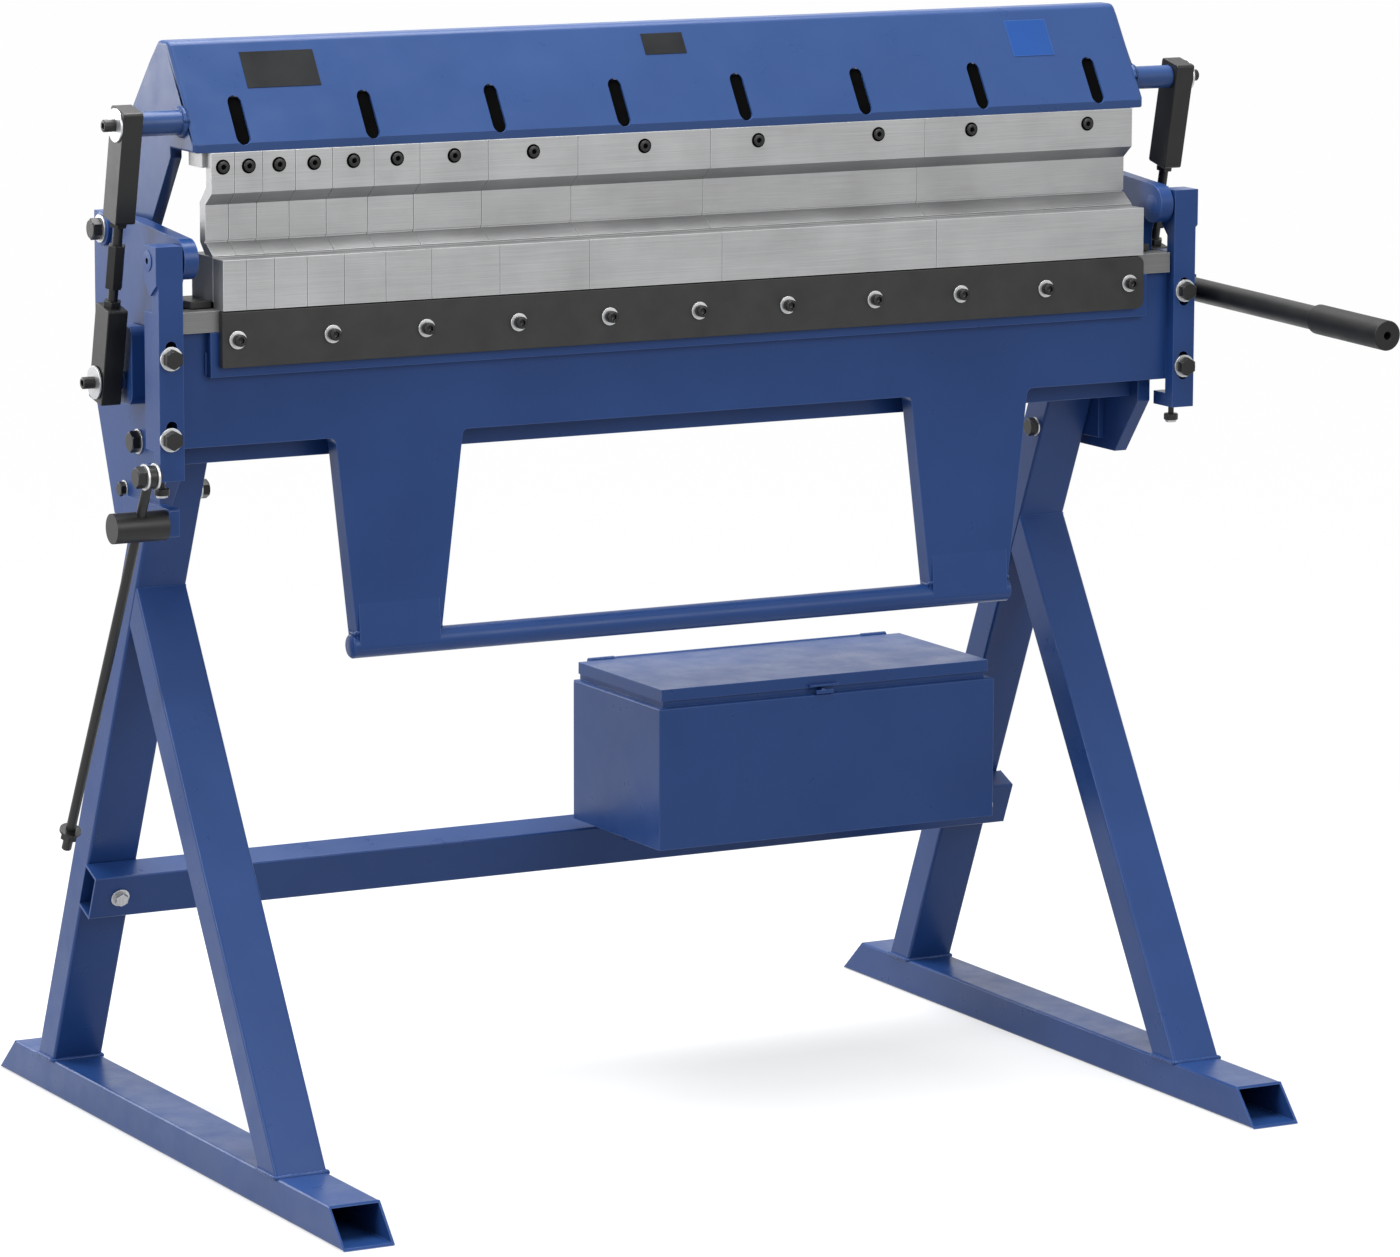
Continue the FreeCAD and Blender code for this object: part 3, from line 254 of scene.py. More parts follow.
DEEP_BLUE, LIGHT_BLUE = (0.0125, 0.044, 0.160), (0.017, 0.054, 0.187)
ALONG = (14.0, 2600.0, 2600.0)
ALL_WAYS = (300.0, 300.0, 300.0)
ROUND = (900.0, 60.0, 60.0)
PAINTS = {
    "blue_paint": dict(deep=DEEP_BLUE, light=LIGHT_BLUE),
    # The beam's paint is a paler copy of the blue paint: painted light on its upward-sloping front.
    "beam_paint": dict(deep=(0.020, 0.052, 0.158), light=(0.025, 0.061, 0.182), highlight_share=0.0),
    "plate_blue": dict(deep=(0.010, 0.055, 0.22), light=(0.012, 0.065, 0.26)),
}
STEELS = {
    "ground_along": ((0.30, 0.302, 0.305), (0.42, 0.422, 0.425), ALONG, 0.42),
    "mill_steel": ((0.13, 0.13, 0.128), (0.22, 0.22, 0.217), ALONG, 0.55, 0.5),
    "zinc": ((0.46, 0.465, 0.47), (0.60, 0.605, 0.61), ALL_WAYS, 0.34),
    "turned_steel": ((0.40, 0.405, 0.41), (0.56, 0.565, 0.57), ROUND, 0.36),
}
BLACKS = {
    "black_oxide": dict(base=(0.010, 0.010, 0.0095), edge=(0.05, 0.05, 0.05), rough=0.38, shine=0.34),
    "black_bar": dict(
        base=(0.018, 0.018, 0.017), edge=(0.07, 0.07, 0.07), rough=0.42, speckle=260.0, shine=0.36
    ),
    # A flat black with no shine: painted shade for slots, sockets and recesses.
    "painted_shade_black": dict(
        base=(0.003, 0.003, 0.003), edge=(0.004, 0.004, 0.004), rough=0.9, shine=0.0
    ),
    "grip_rubber": dict(
        base=(0.006, 0.006, 0.006), edge=(0.02, 0.02, 0.02), rough=0.5, speckle=500.0, shine=0.3
    ),
    "plate_grey": dict(
        base=(0.014, 0.0145, 0.0155), edge=(0.02, 0.02, 0.02), rough=0.5, speckle=260.0, shine=0.1
    ),
}
MATERIALS = {name: make_blue_paint(name, **looks) for name, looks in PAINTS.items()}
MATERIALS.update({name: make_steel(name, *looks) for name, looks in STEELS.items()})
MATERIALS.update({name: make_black(name, **looks) for name, looks in BLACKS.items()})


# Making pieces

def bake(piece):
    """The piece's mesh with its modifiers in it."""
    bpy.context.view_layer.update()
    graph = bpy.context.evaluated_depsgraph_get()
    final = bpy.data.meshes.new_from_object(piece.evaluated_get(graph))
    piece.modifiers.clear()
    piece.data = final
    return final


def finish_piece(name, mesh, body, material, bevel=0.0, weights=None, clamp=True):
    """Links a mesh as a piece that rides on a body, with rounded edges and clean shading."""
    piece = bpy.data.objects.new(name, mesh)
    scene.collection.objects.link(piece)
    mesh.materials.append(MATERIALS[material])
    if bevel > 0:
        rounding = piece.modifiers.new("rounding", "BEVEL")
        rounding.width = bevel
        rounding.segments = 3
        rounding.limit_method = "WEIGHT" if weights else "ANGLE"
        rounding.angle_limit = CORNER_ANGLE
        rounding.use_clamp_overlap = clamp
        if weights:
            layer = mesh.attributes.new("bevel_weight_edge", "FLOAT", "EDGE")
            layer.data.foreach_set("value", weights)
    final = bake(piece)
    for face in final.polygons:
        face.use_smooth = True
    final.set_sharp_from_angle(angle=SHARP_ANGLE)
    shading = piece.modifiers.new("shading", "WEIGHTED_NORMAL")
    shading.keep_sharp = True
    shading.weight = 80
    bake(piece).name = name
    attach(piece, body)
    return piece


def welded(node):
    """The node's shape as a mesh whose flat faces are whole."""
    shape = bmesh.new()
    shape.from_mesh(frame["nodes"][node].data)
    bmesh.ops.remove_doubles(shape, verts=shape.verts, dist=2e-6)
    bmesh.ops.dissolve_degenerate(shape, edges=shape.edges, dist=1e-6)
    bmesh.ops.dissolve_limit(
        shape,
        angle_limit=FLAT_ANGLE,
        verts=shape.verts,
        edges=shape.edges,
        use_dissolve_boundaries=False,
    )
    bmesh.ops.recalc_face_normals(shape, faces=shape.faces)
    return shape


def dress(node, material, bevel, width=None, clamp=True):
    """A piece of the node's own shape with rounded edges; width gives an edge its own rounding."""
    shape = welded(node)
    sizes = []
    for edge in shape.edges:
        size = 0.0
        if len(edge.link_faces) == 2 and edge.calc_face_angle(0.0) > CORNER_ANGLE:
            own = width(edge) if width else None
            size = bevel if own is None else own
        sizes.append(size)
    widest = max(sizes)
    name = node + "_dressed"
    mesh = bpy.data.meshes.new(name)
    shape.to_mesh(mesh)
    shape.free()
    weights = [size / widest for size in sizes]
    piece = finish_piece(name, mesh, BODY_OF[node], material, widest, weights, clamp)
    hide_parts(node)


def gather(name, body, material, build, bevel=0.0):
    """A piece made of several small solids, which build adds to one mesh."""
    shape = bmesh.new()
    build(shape)
    bmesh.ops.recalc_face_normals(shape, faces=shape.faces)
    mesh = bpy.data.meshes.new(name)
    shape.to_mesh(mesh)
    shape.free()
    return finish_piece(name, mesh, body, material, bevel)


def aimed(centre, direction):
    """A placement whose Z runs along a direction."""
    turn = Vector(direction).normalized().to_track_quat("Z", "Y").to_matrix().to_4x4()
    return Matrix.Translation(centre) @ turn


def both_sides(x, line, inward=False):
    """A place at each side of the machine, on a line across it, that looks out or inward."""
    return [
        aimed(mm(x * SIGN[side], *line), -OUT[side] if inward else OUT[side]) for side in SIDES
    ]


def ring(shape, place, height, radius, sides):
    """Vertices round a placement's axis; the radius is fixed or follows the angle."""
    verts = []
    for step in range(sides):
        angle = 2 * math.pi * step / sides
        size = radius(angle) if callable(radius) else radius
        spot = Vector((size * math.cos(angle), size * math.sin(angle), height)) / 1000
        verts.append(shape.verts.new(place @ spot))
    return verts


def walls(shape, rings):
    """Faces from each ring of vertices to the next; a ring may be a single vertex."""
    for lower, upper in zip(rings, rings[1:]):
        sides = max(len(lower), len(upper))
        for step in range(sides):
            follower = (step + 1) % sides
            corners = [lower[step % len(lower)], lower[follower % len(lower)]]
            corners += [upper[follower % len(upper)], upper[step % len(upper)]]
            unique = list(dict.fromkeys(corners))
            if len(unique) > 2:
                shape.faces.new(unique)


def turned_profile(shape, profile, place, sides=48):
    """A turned solid from (radius, height) pairs in millimetres, closed on its axis."""
    rings = []
    for radius, height in profile:
        rings.append(ring(shape, place, height, radius, sides if radius > 0 else 1))
    walls(shape, rings)


def washer(shape, place, outer, inner, thick, low=0.0):
    """A flat ring whose rim has small chamfers."""
    high, chamfer = low + thick, 0.3
    profile = [
        (inner, low),
        (outer - chamfer, low),
        (outer, low + chamfer),
        (outer, high - chamfer),
        (outer - chamfer, high),
        (inner, high),
        (inner, low),
    ]
    turned_profile(shape, profile, place)


def rod(shape, place, radius, long, chamfer=0.8, low=0.0, sides=64):
    """A round bar with chamfered ends."""
    high = low + long
    profile = [
        (0, low),
        (radius - chamfer, low),
        (radius, low + chamfer),
        (radius, high - chamfer),
        (radius - chamfer, high),
        (0, high),
    ]
    turned_profile(shape, profile, place, sides)


def hexagon_radius(across, angle):
    """How far a hexagon's side is from its middle at an angle."""
    part = (angle + math.pi / 6) % (math.pi / 3) - math.pi / 6
    return across / 2 / math.cos(part)


def hexagon(shape, place, across, thick, low=0.0):
    """A bolt head or nut whose corners are turned off, across flats in millimetres."""
    corner = across / math.sqrt(3)
    flat = across / 2
    trim = (corner - flat) * 0.62
    high = low + thick
    levels = []
    for height, limit in ((low, corner), (high - trim, corner), (high, flat * 0.96), (high, flat * 0.9)):
        levels.append(ring(
            shape, place, height, lambda angle: min(hexagon_radius(across, angle), limit), sides=24
        ))
    walls(shape, levels)
    shape.faces.new(levels[-1])
    shape.faces.new(reversed(levels[0]))


def socket_head(shape, place, radius, tall, across, deep, low=0.0):
    """A round screw head with a hexagon socket in its face."""
    corner = across / math.sqrt(3)
    high = low + tall
    rim, drill = 0.7, 1.2

    def socket(scale):
        return lambda angle: min(hexagon_radius(across, angle), corner) * scale

    outline = (
        (low, radius),
        (high - rim, radius),
        (high, radius - rim),
        (high, socket(1.1)),
        (high - 0.4, socket(1.0)),
        (high - deep, socket(0.96)),
    )
    levels = [ring(shape, place, height, size, sides=48) for height, size in outline]
    levels.append(ring(shape, place, high - deep - drill, 0, sides=1))
    walls(shape, levels)
    shape.faces.new(reversed(levels[0]))


def block(shape, low, high):
    """A box between two corners given in millimetres."""
    made = bmesh.ops.create_cube(shape, size=1.0)
    centre = (Vector(low) + Vector(high)) / 2000
    size = (Vector(high) - Vector(low)) / 1000
    for vert in made["verts"]:
        vert.co = Vector(a * b for a, b in zip(vert.co, size)) + centre


def bead(shape, path, radius):
    """A weld bead along a path in millimetres, with ripples and an uneven width."""
    pitch, sides = 2.2, 10
    points = []
    for start, end in zip(path, path[1:]):
        start, end = Vector(start), Vector(end)
        count = max(2, int((end - start).length / pitch))
        points += [start.lerp(end, step / count) for step in range(count)]
    points.append(Vector(path[-1]))
    rings = []
    for index, point in enumerate(points):
        before = points[max(0, index - 1)]
        after = points[min(len(points) - 1, index + 1)]
        turned = (after - before).to_track_quat("Z", "Y")
        size = 1 + 0.1 * math.sin(index * 2.1) + 0.12 * math.sin(index * 0.37 + point.x * 0.05)
        size *= radius * (0.5 if index in (0, len(points) - 1) else 1)
        verts = []
        for step in range(sides):
            angle = 2 * math.pi * step / sides
            offset = turned @ Vector((size * math.cos(angle), size * math.sin(angle), 0))
            verts.append(shape.verts.new((point + offset) / 1000))
        rings.append(verts)
    walls(shape, rings)
    shape.faces.new(list(reversed(rings[0])))
    shape.faces.new(rings[-1])


# Stand

def tube_edge(edge):
    """Rounds a tube's long outer edges more than the others."""
    return 0.003 if edge.is_convex and edge.calc_length() > 0.09 else None


for side in SIDES:
    for part in ("foot", "rear_leg", "front_leg"):
        dress(f"{side}_{part}", "blue_paint", 0.0004, tube_edge)
dress("crossbar", "blue_paint", 0.0004, tube_edge)

BOX_LOW, BOX_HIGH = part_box("tool_box")
SHOULDER_Z = BOX_HIGH.z - 0.021


def on_box_outside(spot):
    """On the box's left, right or front wall."""
    return min(
        abs(spot.x - BOX_LOW.x), abs(spot.x - BOX_HIGH.x), abs(spot.y - BOX_LOW.y)
    ) < 0.0004


def box_edge(edge):
    """Soft shoulders round the top of the box and soft corners, as on bent sheet."""
    near, long = 0.003, 0.05
    first, second = (vert.co for vert in edge.verts)
    if not edge.is_convex or max(first.z, second.z) > SHOULDER_Z + near:
        return None
    if not (on_box_outside(first) and on_box_outside(second)):
        return None
    if min(first.z, second.z) > SHOULDER_Z - near and (first - second).length > long:
        return 0.0045
    return 0.0022 if abs(first.z - second.z) > long else None


dress("tool_box", "blue_paint", 0.0005, box_edge)
dress("tool_box_lid", "blue_paint", 0.0012)


# Bed, apron and side plates

for side in SIDES:
    dress(f"{side}_side_plate", "blue_paint", 0.0008)
dress("leg_spacers", "blue_paint", 0.0006)
dress("bed_beam", "blue_paint", 0.0008)
dress("bed_jaw", "ground_along", 0.0005)
dress("bed_rail", "black_bar", 0.0006)
dress("stop_bracket", "blue_paint", 0.0008)
dress("apron_plate", "blue_paint", 0.001)
dress("apron_pad", "blue_paint", 0.0006)
dress("blade_rest_bar", "mill_steel", 0.0006)
dress("folding_blades", "ground_along", 0.0003)
dress("blade_clamp_bar", "black_bar", 0.0012)
for side in SIDES:
    dress(f"{side}_hinge_arm", "blue_paint", 0.0008)


# Clamping beam

SHELL_END_X, BEAM_END_X = 0.529, 0.541
BEAM_END_LOW_Z = 1.0185


def both_ends_at(edge, x):
    """Whether both ends of an edge lie that far left or right of the middle."""
    return all(abs(abs(vert.co.x) - x) < 1e-4 for vert in edge.verts)


def shell_edge(edge):
    """No rounding where the folded plate meets the beam's ends, and the usual one elsewhere."""
    return 0.0 if both_ends_at(edge, SHELL_END_X) else None


def beam_end_edge(edge):
    """A soft outer corner on the beam's end, and no groove where it meets the folded plate."""
    if both_ends_at(edge, SHELL_END_X):
        return 0.0
    high = all(vert.co.z > BEAM_END_LOW_Z for vert in edge.verts)
    return 0.0042 if high and both_ends_at(edge, BEAM_END_X) else None


dress("beam_shell", "beam_paint", 0.0005, shell_edge)
for side in SIDES:
    dress(f"{side}_beam_end", "beam_paint", 0.0009, beam_end_edge, clamp=False)
dress("finger_bar", "ground_along", 0.0006)
dress("clamp_fingers", "ground_along", 0.0003)


# Shaft, cranks, links, handle and fold stop

def round_bar(name, body, material, half, line, chamfer, node):
    """A plain round bar across the machine, standing for a CAD node."""
    start, end = Vector((-half, *line)), Vector((half, *line))
    place = aimed(start / 1000, end - start)

    def build(shape):
        rod(shape, place, 12.5, (end - start).length, chamfer, sides=96)

    piece = gather(name, body, material, build)
    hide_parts(node)


for side in SIDES:
    dress(f"{side}_crank", "blue_paint", 0.001)
    dress(f"{side}_link_upper_block", "black_oxide", 0.001)
    dress(f"{side}_link_lower_block", "black_oxide", 0.001)
    dress(f"{side}_link_rod", "black_oxide", 0.0004)
dress("handle_lever", "blue_paint", 0.001)
round_bar("pull_bar_round", "apron", "blue_paint", 378.8, PULL_BAR, 1.8, "pull_bar")
round_bar("clamp_shaft_round", "clamp_shaft", "turned_steel", 566, CLAMP_SHAFT, 0.8,
          "clamp_shaft")
dress("handle_tube", "black_oxide", 0.0004)
dress("handle_grip", "grip_rubber", 0.0014)
dress("stop_trunnion", "black_oxide", 0.001)
dress("stop_rod", "black_oxide", 0.0003)


# Bolts, screws and washers

def fixings(name, body, places, material, slot, solids, **sizes):
    """One piece with the same small solids at several places."""
    def build(shape):
        for place in places:
            solids(shape, place, **sizes)
    return gather(name, body, material, build)


def bolts(name, body, places, wide, thick, across, tall):
    """Hexagon bolts on bright washers, each standing on the surface that its place gives."""
    fixings(name + "_washers", body, places, "zinc", "bare_steel",
            washer, outer=wide, inner=5, thick=thick)
    fixings(name + "_heads", body, places, "black_oxide", "black_oxide",
            hexagon, across=across, thick=tall, low=thick)


def cap_screws(name, body, places, wide, thick, radius, tall):
    """Cap screws with hexagon sockets, on bright washers."""
    fixings(name + "_washers", body, places, "zinc", "bare_steel",
            washer, outer=wide, inner=3, thick=thick)
    fixings(name + "_heads", body, places, "black_oxide", "black_oxide",
            socket_head, radius=radius, tall=tall, across=radius, deep=tall * 0.45, low=thick)


SEGMENTS = (25, 30, 35, 40, 45, 50, 75, 100, 150, 250, 250)
TWO_SCREWS_FROM, SCREW_INSET = 200, 55
finger_spots, near = [], -ROW_HALF
for wide in SEGMENTS:
    if wide < TWO_SCREWS_FROM:
        finger_spots.append(near + wide / 2)
    else:
        finger_spots += [near + SCREW_INSET, near + wide - SCREW_INSET]
    near += wide
finger_places = [aimed(mm(x, -105.95, 1005), TO_FRONT) for x in finger_spots]
# Flat black rings round the finger screws and black fills in their sockets are painted shade.
fixings("finger_screw_shade_rings", "clamp_beam", finger_places, "painted_shade_black", "black_oxide",
        rod, radius=7.4, long=0.35, chamfer=0.1)
fixings("finger_screws", "clamp_beam", finger_places, "black_oxide", "black_oxide",
        socket_head, radius=5.6, tall=2.4, across=5.0, deep=1.1, low=0.2)
fixings("finger_screw_socket_shade", "clamp_beam", finger_places, "painted_shade_black", "black_oxide",
        rod, radius=2.4, long=1.4, chamfer=0.1, low=0.2)

clamp_bar_places = [aimed(mm(-510 + 101.8 * k, -131.35, 839), TO_FRONT) for k in range(11)]
cap_screws("clamp_bar_screws", "apron", clamp_bar_places, wide=9, thick=1.6, radius=6, tall=7.5)
slot_spots = [BEAM_SLOT_REACH * (2 * k / 7 - 1) for k in range(8)]
slot_places = [aimed(mm(x, -90.35, 1018.8), UP) for x in slot_spots]
cap_screws("beam_slot_screws", "clamp_beam", slot_places, wide=8, thick=4.5, radius=5, tall=9)

arm_spots = ((-579, 824), (-580, 745), (579, 827), (579, 747.5))
arm_places = [aimed(mm(x, -127.35, z), TO_FRONT) for x, z in arm_spots]
bolts("arm_bolts", "apron", arm_places, wide=11.8, thick=2.2, across=17, tall=8)


def arm_slot_painted_shade(shape):
    """Flat black plates in the bottoms of the arms' slots: painted shade."""
    middle, half = 578.6, 5.6
    for sign in (-1, 1):
        for z in (826, 748):
            block(shape, (middle * sign - half, -114.2, z - 13), (middle * sign + half, -113.2, z + 13))


# Painted shade in the arms' slots.
gather("arm_slot_painted_shade", "apron", "painted_shade_black", arm_slot_painted_shade)

piece = fixings("hinge_pins_turned", "frame", both_sides(NOSE_FACE, HINGE), "turned_steel", "bare_steel",
                rod, radius=7.95, long=43.8, chamfer=0.6, low=0.6)
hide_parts("hinge_pins")
head_places = both_sides(594, HINGE)
fixings("hinge_pin_heads", "apron", head_places, "blue_paint", "blue_paint",
        washer, outer=10, inner=3.2, thick=0.9)
# A flat black disc in each pin head's socket is painted shade.
fixings("hinge_pin_socket_shade", "apron", head_places, "painted_shade_black", "blue_paint",
        rod, radius=3.1, long=0.35, chamfer=0.1)
fixings("nose_paint_discs", "frame", both_sides(NOSE_FACE, HINGE, inward=True), "blue_paint",
        "blue_paint", rod, radius=9.2, long=0.7, chamfer=0.3, low=-0.3)

pivot_places = both_sides(PLATE_FACE, REAR_PIVOT)
fixings("pivot_collars", "frame", pivot_places, "blue_paint", "blue_paint",
        rod, radius=17, long=4.5)
fixings("pivot_washers", "frame", pivot_places, "zinc", "bare_steel",
        washer, outer=14, inner=6, thick=2.2, low=4.5)


def pivot_bolt(shape, place):
    hexagon(shape, place, across=19, thick=9.5, low=6.7)
    rod(shape, place, radius=7.95, long=38, chamfer=0.6, low=-34.4)


piece = fixings("pivot_bolts_dressed", "frame", pivot_places, "black_oxide", "black_oxide", pivot_bolt)
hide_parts("pivot_bolts")

bolts("side_plate_bolts", "frame", both_sides(PLATE_FACE, (-12.35, 728)),
      wide=12.5, thick=2.2, across=19, tall=8.5)
bolts("side_plate_low_bolts", "frame", both_sides(PLATE_FACE, (23.65, 676)),
      wide=8.6, thick=1.4, across=13, tall=5.5)
bolts("column_nuts", "frame", both_sides(487, (18.65, 671), inward=True),
      wide=10, thick=2, across=17, tall=8)

bolts("stop_eye_bolt", "apron", [aimed(mm(-607, *STOP_EYE), OUT["left"])],
      wide=13, thick=2.2, across=19, tall=9)
eye_inner_place = [aimed(mm(-591.5, *STOP_EYE), OUT["left"])]
fixings("stop_eye_spacer", "apron", eye_inner_place, "black_oxide", "black_oxide",
        rod, radius=5.9, long=15.5, chamfer=0.3)
fixings("stop_eye_inner_washer", "apron", eye_inner_place, "zinc", "bare_steel",
        washer, outer=13, inner=5.5, thick=2.4, low=4.6)

for side in SIDES:
    cap_screws(f"{side}_link_upper_screw", f"{side}_link",
               [aimed(mm(610 * SIGN[side], *LINK_PIN), OUT[side])],
               wide=16.5, thick=2.2, radius=6, tall=12)
cap_screws("left_link_lower_screw", "clamp_shaft", [aimed(mm(-611, *CRANK_PIN), OUT["left"])],
           wide=16.5, thick=2.2, radius=6, tall=12)


def adjusting_screw(shape, place):
    rod(shape, place, radius=3, long=10.5, chamfer=0.3)
    rod(shape, place, radius=7.5, long=7, low=9.5)


foot_places = [aimed(mm(579.5 * sign, -103.35, 704), -UP) for sign in (-1, 1)]
fixings("adjusting_screws", "apron", foot_places, "black_oxide", "black_oxide", adjusting_screw)
fixings("adjusting_nuts", "apron", foot_places, "zinc", "bare_steel",
        hexagon, across=10, thick=2.4, low=16.5)


def rail_ends(shape):
    """Small blocks beyond the ends of the bed rail."""
    for sign in (-1, 1):
        near, far = sorted((526 * sign, 548 * sign))
        block(shape, (near, -106, 868.4), (far, -88, 875.4))


gather("rail_end_blocks", "frame", "black_bar", rail_ends, 0.0006)


def crossbar_place(across):
    """A place on the crossbar's front face, whose normal leans forward and down."""
    lean, lift = math.radians(23.4), 0.2
    facing = Vector((0, -math.cos(lean), -math.sin(lean)))
    middle = Vector((across, 163.2, 231.0))
    return aimed((middle + facing * lift) / 1000, facing)


crossbar_places = [crossbar_place(x) for x in (-514.5, 514.5)]
fixings("crossbar_washers", "frame", crossbar_places, "zinc", "bare_steel",
        washer, outer=10, inner=5, thick=1.6)
fixings("crossbar_bolts", "frame", crossbar_places, "turned_steel", "bare_steel",
        hexagon, across=13, thick=5.5, low=1.6)


# Latch of the tool box

LATCH_X = 200
LID_LOW, LID_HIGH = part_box("tool_box_lid")


def box_hasp(shape):
    """A small lip on the front edge of the lid, over the button."""
    y, z = LID_LOW.y * 1000, LID_HIGH.z * 1000
    block(shape, (LATCH_X - 17, y - 5.5, z - 12.5), (LATCH_X + 17, y + 0.3, z - 10.3))


def box_button(shape):
    """A turning button in the rim of the box, under the lid's lip."""
    y, z = BOX_LOW.y * 1000, BOX_HIGH.z * 1000
    pin_place = aimed(mm(LATCH_X - 2, y + 8.3, z - 18), TO_FRONT)
    rod(shape, pin_place, radius=3, long=10.5, chamfer=0.6)
    block(shape, (LATCH_X - 11, y - 3.5, z - 20.2), (LATCH_X + 9, y - 0.5, z - 16.4))


gather("box_hasp", "tool_box_lid", "blue_paint", box_hasp, 0.0006)
gather("box_button", "frame", "blue_paint", box_button, 0.0006)


# Bare plates on the beam, and painted shade in its slots

SLOPE = math.radians(32.4)
SLOPE_FOOT_Y, SLOPE_FOOT_Z = -102.15, 1027


def slope_plate(shape, left, right, low, high, thick=0.5):
    """A thin plate flat on the sloping front, between two sides and two heights."""
    def spot(x, z, off):
        y = SLOPE_FOOT_Y + (z - SLOPE_FOOT_Z) * math.tan(SLOPE)
        return shape.verts.new(mm(x, y - off * math.cos(SLOPE), z + off * math.sin(SLOPE)))

    corners = ((left, low), (right, low), (right, high), (left, high))
    under = [spot(x, z, min(0.02, 2 * thick)) for x, z in corners]
    over = [spot(x, z, thick) for x, z in corners]
    shape.faces.new(over)
    shape.faces.new(list(reversed(under)))
    walls(shape, (under, over))


def grey_plates(shape):
    slope_plate(shape, -469, -390, 1077, 1110.5)
    slope_plate(shape, -25, 22, 1092, 1112)


def blue_plate(shape):
    slope_plate(shape, 401, 450, 1074.6, 1110)


def slot_painted_shade(shape):
    """Flat black cards a little below the sloping front: painted shade that makes its slots look deep.
    """
    half = 7.3
    for x in slot_spots:
        slope_plate(shape, x - half, x + half, 1025.5, 1070.5, thick=-2.5)


gather("beam_plates", "clamp_beam", "plate_grey", grey_plates, 0.0001)
# Flat black cards in the beam's slots: painted shade.
gather("slot_painted_shade", "clamp_beam", "painted_shade_black", slot_painted_shade)
gather("beam_blue_plate", "clamp_beam", "plate_blue", blue_plate, 0.0001)


# Welds

FOOT_TOP = 37.5


def leg_welds(shape):
    """Beads where the legs stand on the feet."""
    for side in SIDES:
        for leg, rear, depth in (("front_leg", False, 44.4), ("rear_leg", True, 41.4)):
            low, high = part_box(f"{side}_{leg}")
            left, right = low.x * 1000, high.x * 1000
            front = high.y * 1000 - depth if rear else low.y * 1000
            back = front + depth
            corners = ((left, front), (right, front), (right, back), (left, back), (left, front))
            bead(shape, [(x, y, FOOT_TOP) for x, y in corners], 2.6)


def pin_welds(shape):
    """A heavy bead round each pin where it leaves the beam's end."""
    radius, steps = 12.5, 24
    for sign in (-1, 1):
        circle = []
        for step in range(steps + 1):
            angle = 2 * math.pi * step / steps
            y = LINK_PIN[0] + radius * math.cos(angle)
            circle.append((sign * 541.5, y, LINK_PIN[1] + radius * math.sin(angle)))
        bead(shape, circle, 3.2)


def pull_bar_welds(shape):
    """Filler that carries the apron's arms smoothly onto the bar, and beads at their corners."""
    outline = ((-112.65, 568), (-116.35, 524), (-115.95, 519), (-109.35, 519), (-109.35, 568))
    for sign in (-1, 1):
        ends = [
            [shape.verts.new(mm(x, y, z)) for y, z in outline]
            for x in sorted((sign * 284, sign * 373))
        ]
        shape.faces.new(ends[0])
        shape.faces.new(list(reversed(ends[1])))
        walls(shape, ends)
        for x in (sign * 374.5, sign * 282.5):
            bead(shape, ((x, -114.6, 538), (x, -109.5, 534.5), (x, -98, 534.5), (x, -93, 538)), 2.4)


def pad_welds(shape):
    """A short upright bead at each end of the apron's pad."""
    for sign in (-1, 1):
        bead(shape, ((sign * 535.8, -113.6, 804), (sign * 535.8, -113.6, 826)), 1.9)


gather("pad_welds", "apron", "blue_paint", pad_welds)
gather("stand_welds", "frame", "blue_paint", leg_welds)
gather("pin_welds", "clamp_beam", "beam_paint", pin_welds)
gather("pull_bar_welds", "apron", "blue_paint", pull_bar_welds)


# Floor, light and background

FLOOR_SIZE, FLOOR_Z = 160, -0.0005
FLOOR_SHARE = {"From Min": 0.8, "From Max": 2.0, "To Min": 0.6, "To Max": 0.985}


def background_rays(tree):
    """1 for the rays that see the plain background: camera, glossy and transmission rays."""
    path = add_node(tree, "ShaderNodeLightPath")
    seen = path.outputs["Is Camera Ray"]
    for kind in ("Is Glossy Ray", "Is Transmission Ray"):
        inputs = {0: seen, 1: path.outputs[kind]}
        seen = add_node(tree, "ShaderNodeMath", inputs, operation="MAXIMUM").outputs[0]
    return seen


def mixed_shaders(tree, share, first, second):
    """Mixes two shader nodes by a share."""
    inputs = {0: share, 1: first.outputs[0], 2: second.outputs[0]}
    return add_node(tree, "ShaderNodeMixShader", inputs)


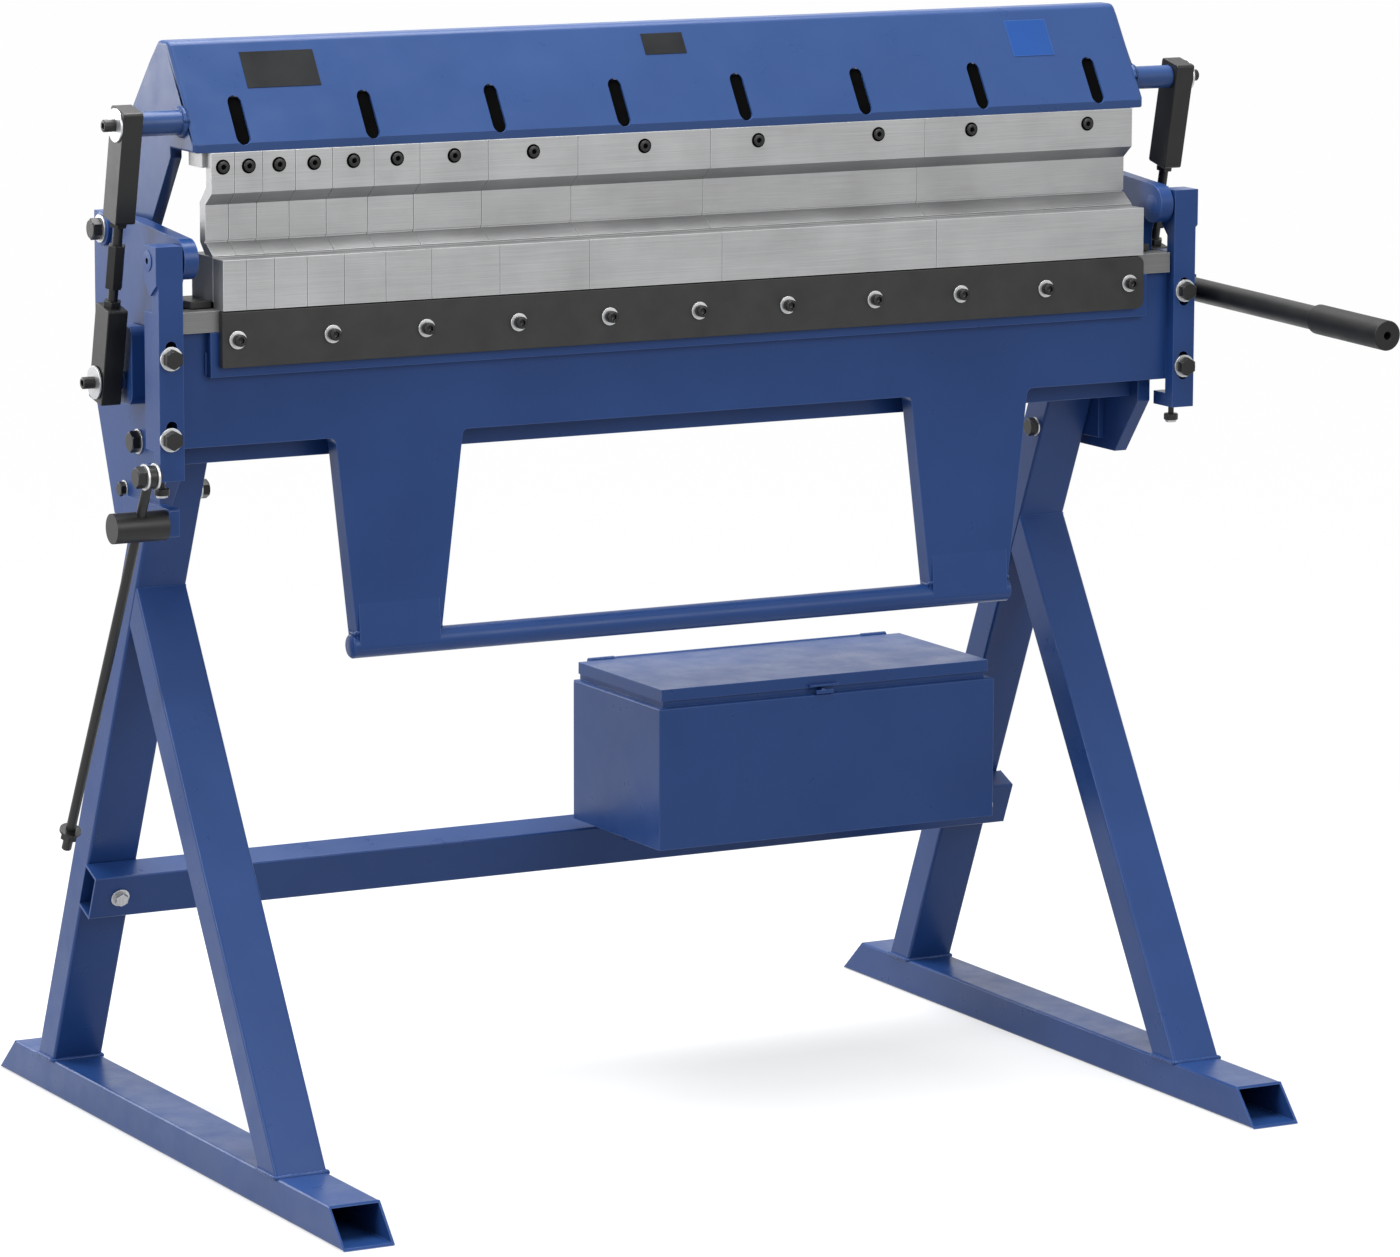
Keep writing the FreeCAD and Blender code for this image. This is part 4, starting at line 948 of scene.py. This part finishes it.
def floor_material():
    """White to the camera and in reflections, except where the object shades it."""
    material, tree, shader = new_material("floor")
    tree.nodes.remove(shader)
    plain = add_node(tree, "ShaderNodeBsdfDiffuse", {"Color": (0.34, 0.35, 0.37)})
    shaded = add_node(tree, "ShaderNodeBsdfDiffuse", {"Color": (0.9, 0.9, 0.91)})
    glow = add_node(tree, "ShaderNodeEmission", {"Color": WHITE, "Strength": 1.0})
    spot = {0: add_node(tree, "ShaderNodeNewGeometry").outputs["Position"]}
    reach = add_node(tree, "ShaderNodeVectorMath", spot, operation="LENGTH").outputs["Value"]
    share = add_node(tree, "ShaderNodeMapRange", {"Value": reach, **FLOOR_SHARE})
    pale = mixed_shaders(tree, share.outputs["Result"], shaded, glow)
    chosen = mixed_shaders(tree, background_rays(tree), plain, pale)
    feed(tree, tree.nodes["Material Output"], {"Surface": chosen.outputs[0]})
    return material


bpy.ops.mesh.primitive_plane_add(size=FLOOR_SIZE, location=(0, 0, FLOOR_Z))
floor = bpy.context.object
floor.name = "floor"
floor.data.materials.append(floor_material())

world = bpy.data.worlds.new("world")
scene.world = world
world.use_nodes = True
sky = world.node_tree
sky.nodes.clear()
dim = add_node(sky, "ShaderNodeBackground", {"Color": (0.93, 0.96, 1.0), "Strength": 0.45})
white = add_node(sky, "ShaderNodeBackground", {"Color": WHITE, "Strength": 1.0})
chosen = mixed_shaders(sky, background_rays(sky), dim, white)
add_node(sky, "ShaderNodeOutputWorld", {"Surface": chosen.outputs[0]})


def area_light(name, place, aim, size, power, colour=WHITE):
    """A soft panel at a place, aimed at a spot, with a width and a height in metres."""
    data = bpy.data.lights.new(name, "AREA")
    data.shape = "RECTANGLE"
    data.size, data.size_y = size
    data.energy = power
    data.color = colour
    lamp = bpy.data.objects.new(name, data)
    scene.collection.objects.link(lamp)
    lamp.location = place
    direction = Vector(aim) - Vector(place)
    lamp.rotation_euler = direction.to_track_quat("-Z", "Y").to_euler()
    lamp.visible_camera = False


area_light("back_left_panel", (-2.15, 2.9, 1.36), (-0.6, 0, 1.2), (1.9, 1.2), 40, (1.0, 0.985, 0.99))
area_light("top_panel", (-0.2, 0.3, 3.4), (0, 0, 0.6), (3.0, 2.4), 190)
area_light("front_panel", (1.2, -4.6, 2.8), (0, 0, 0.75), (3.2, 2.2), 92)
area_light("left_panel", (-4.4, -0.6, 2.3), (-0.5, 0, 0.9), (1.6, 1.6), 95, (0.93, 0.96, 1.0))
scene.view_settings.view_transform = "Standard"
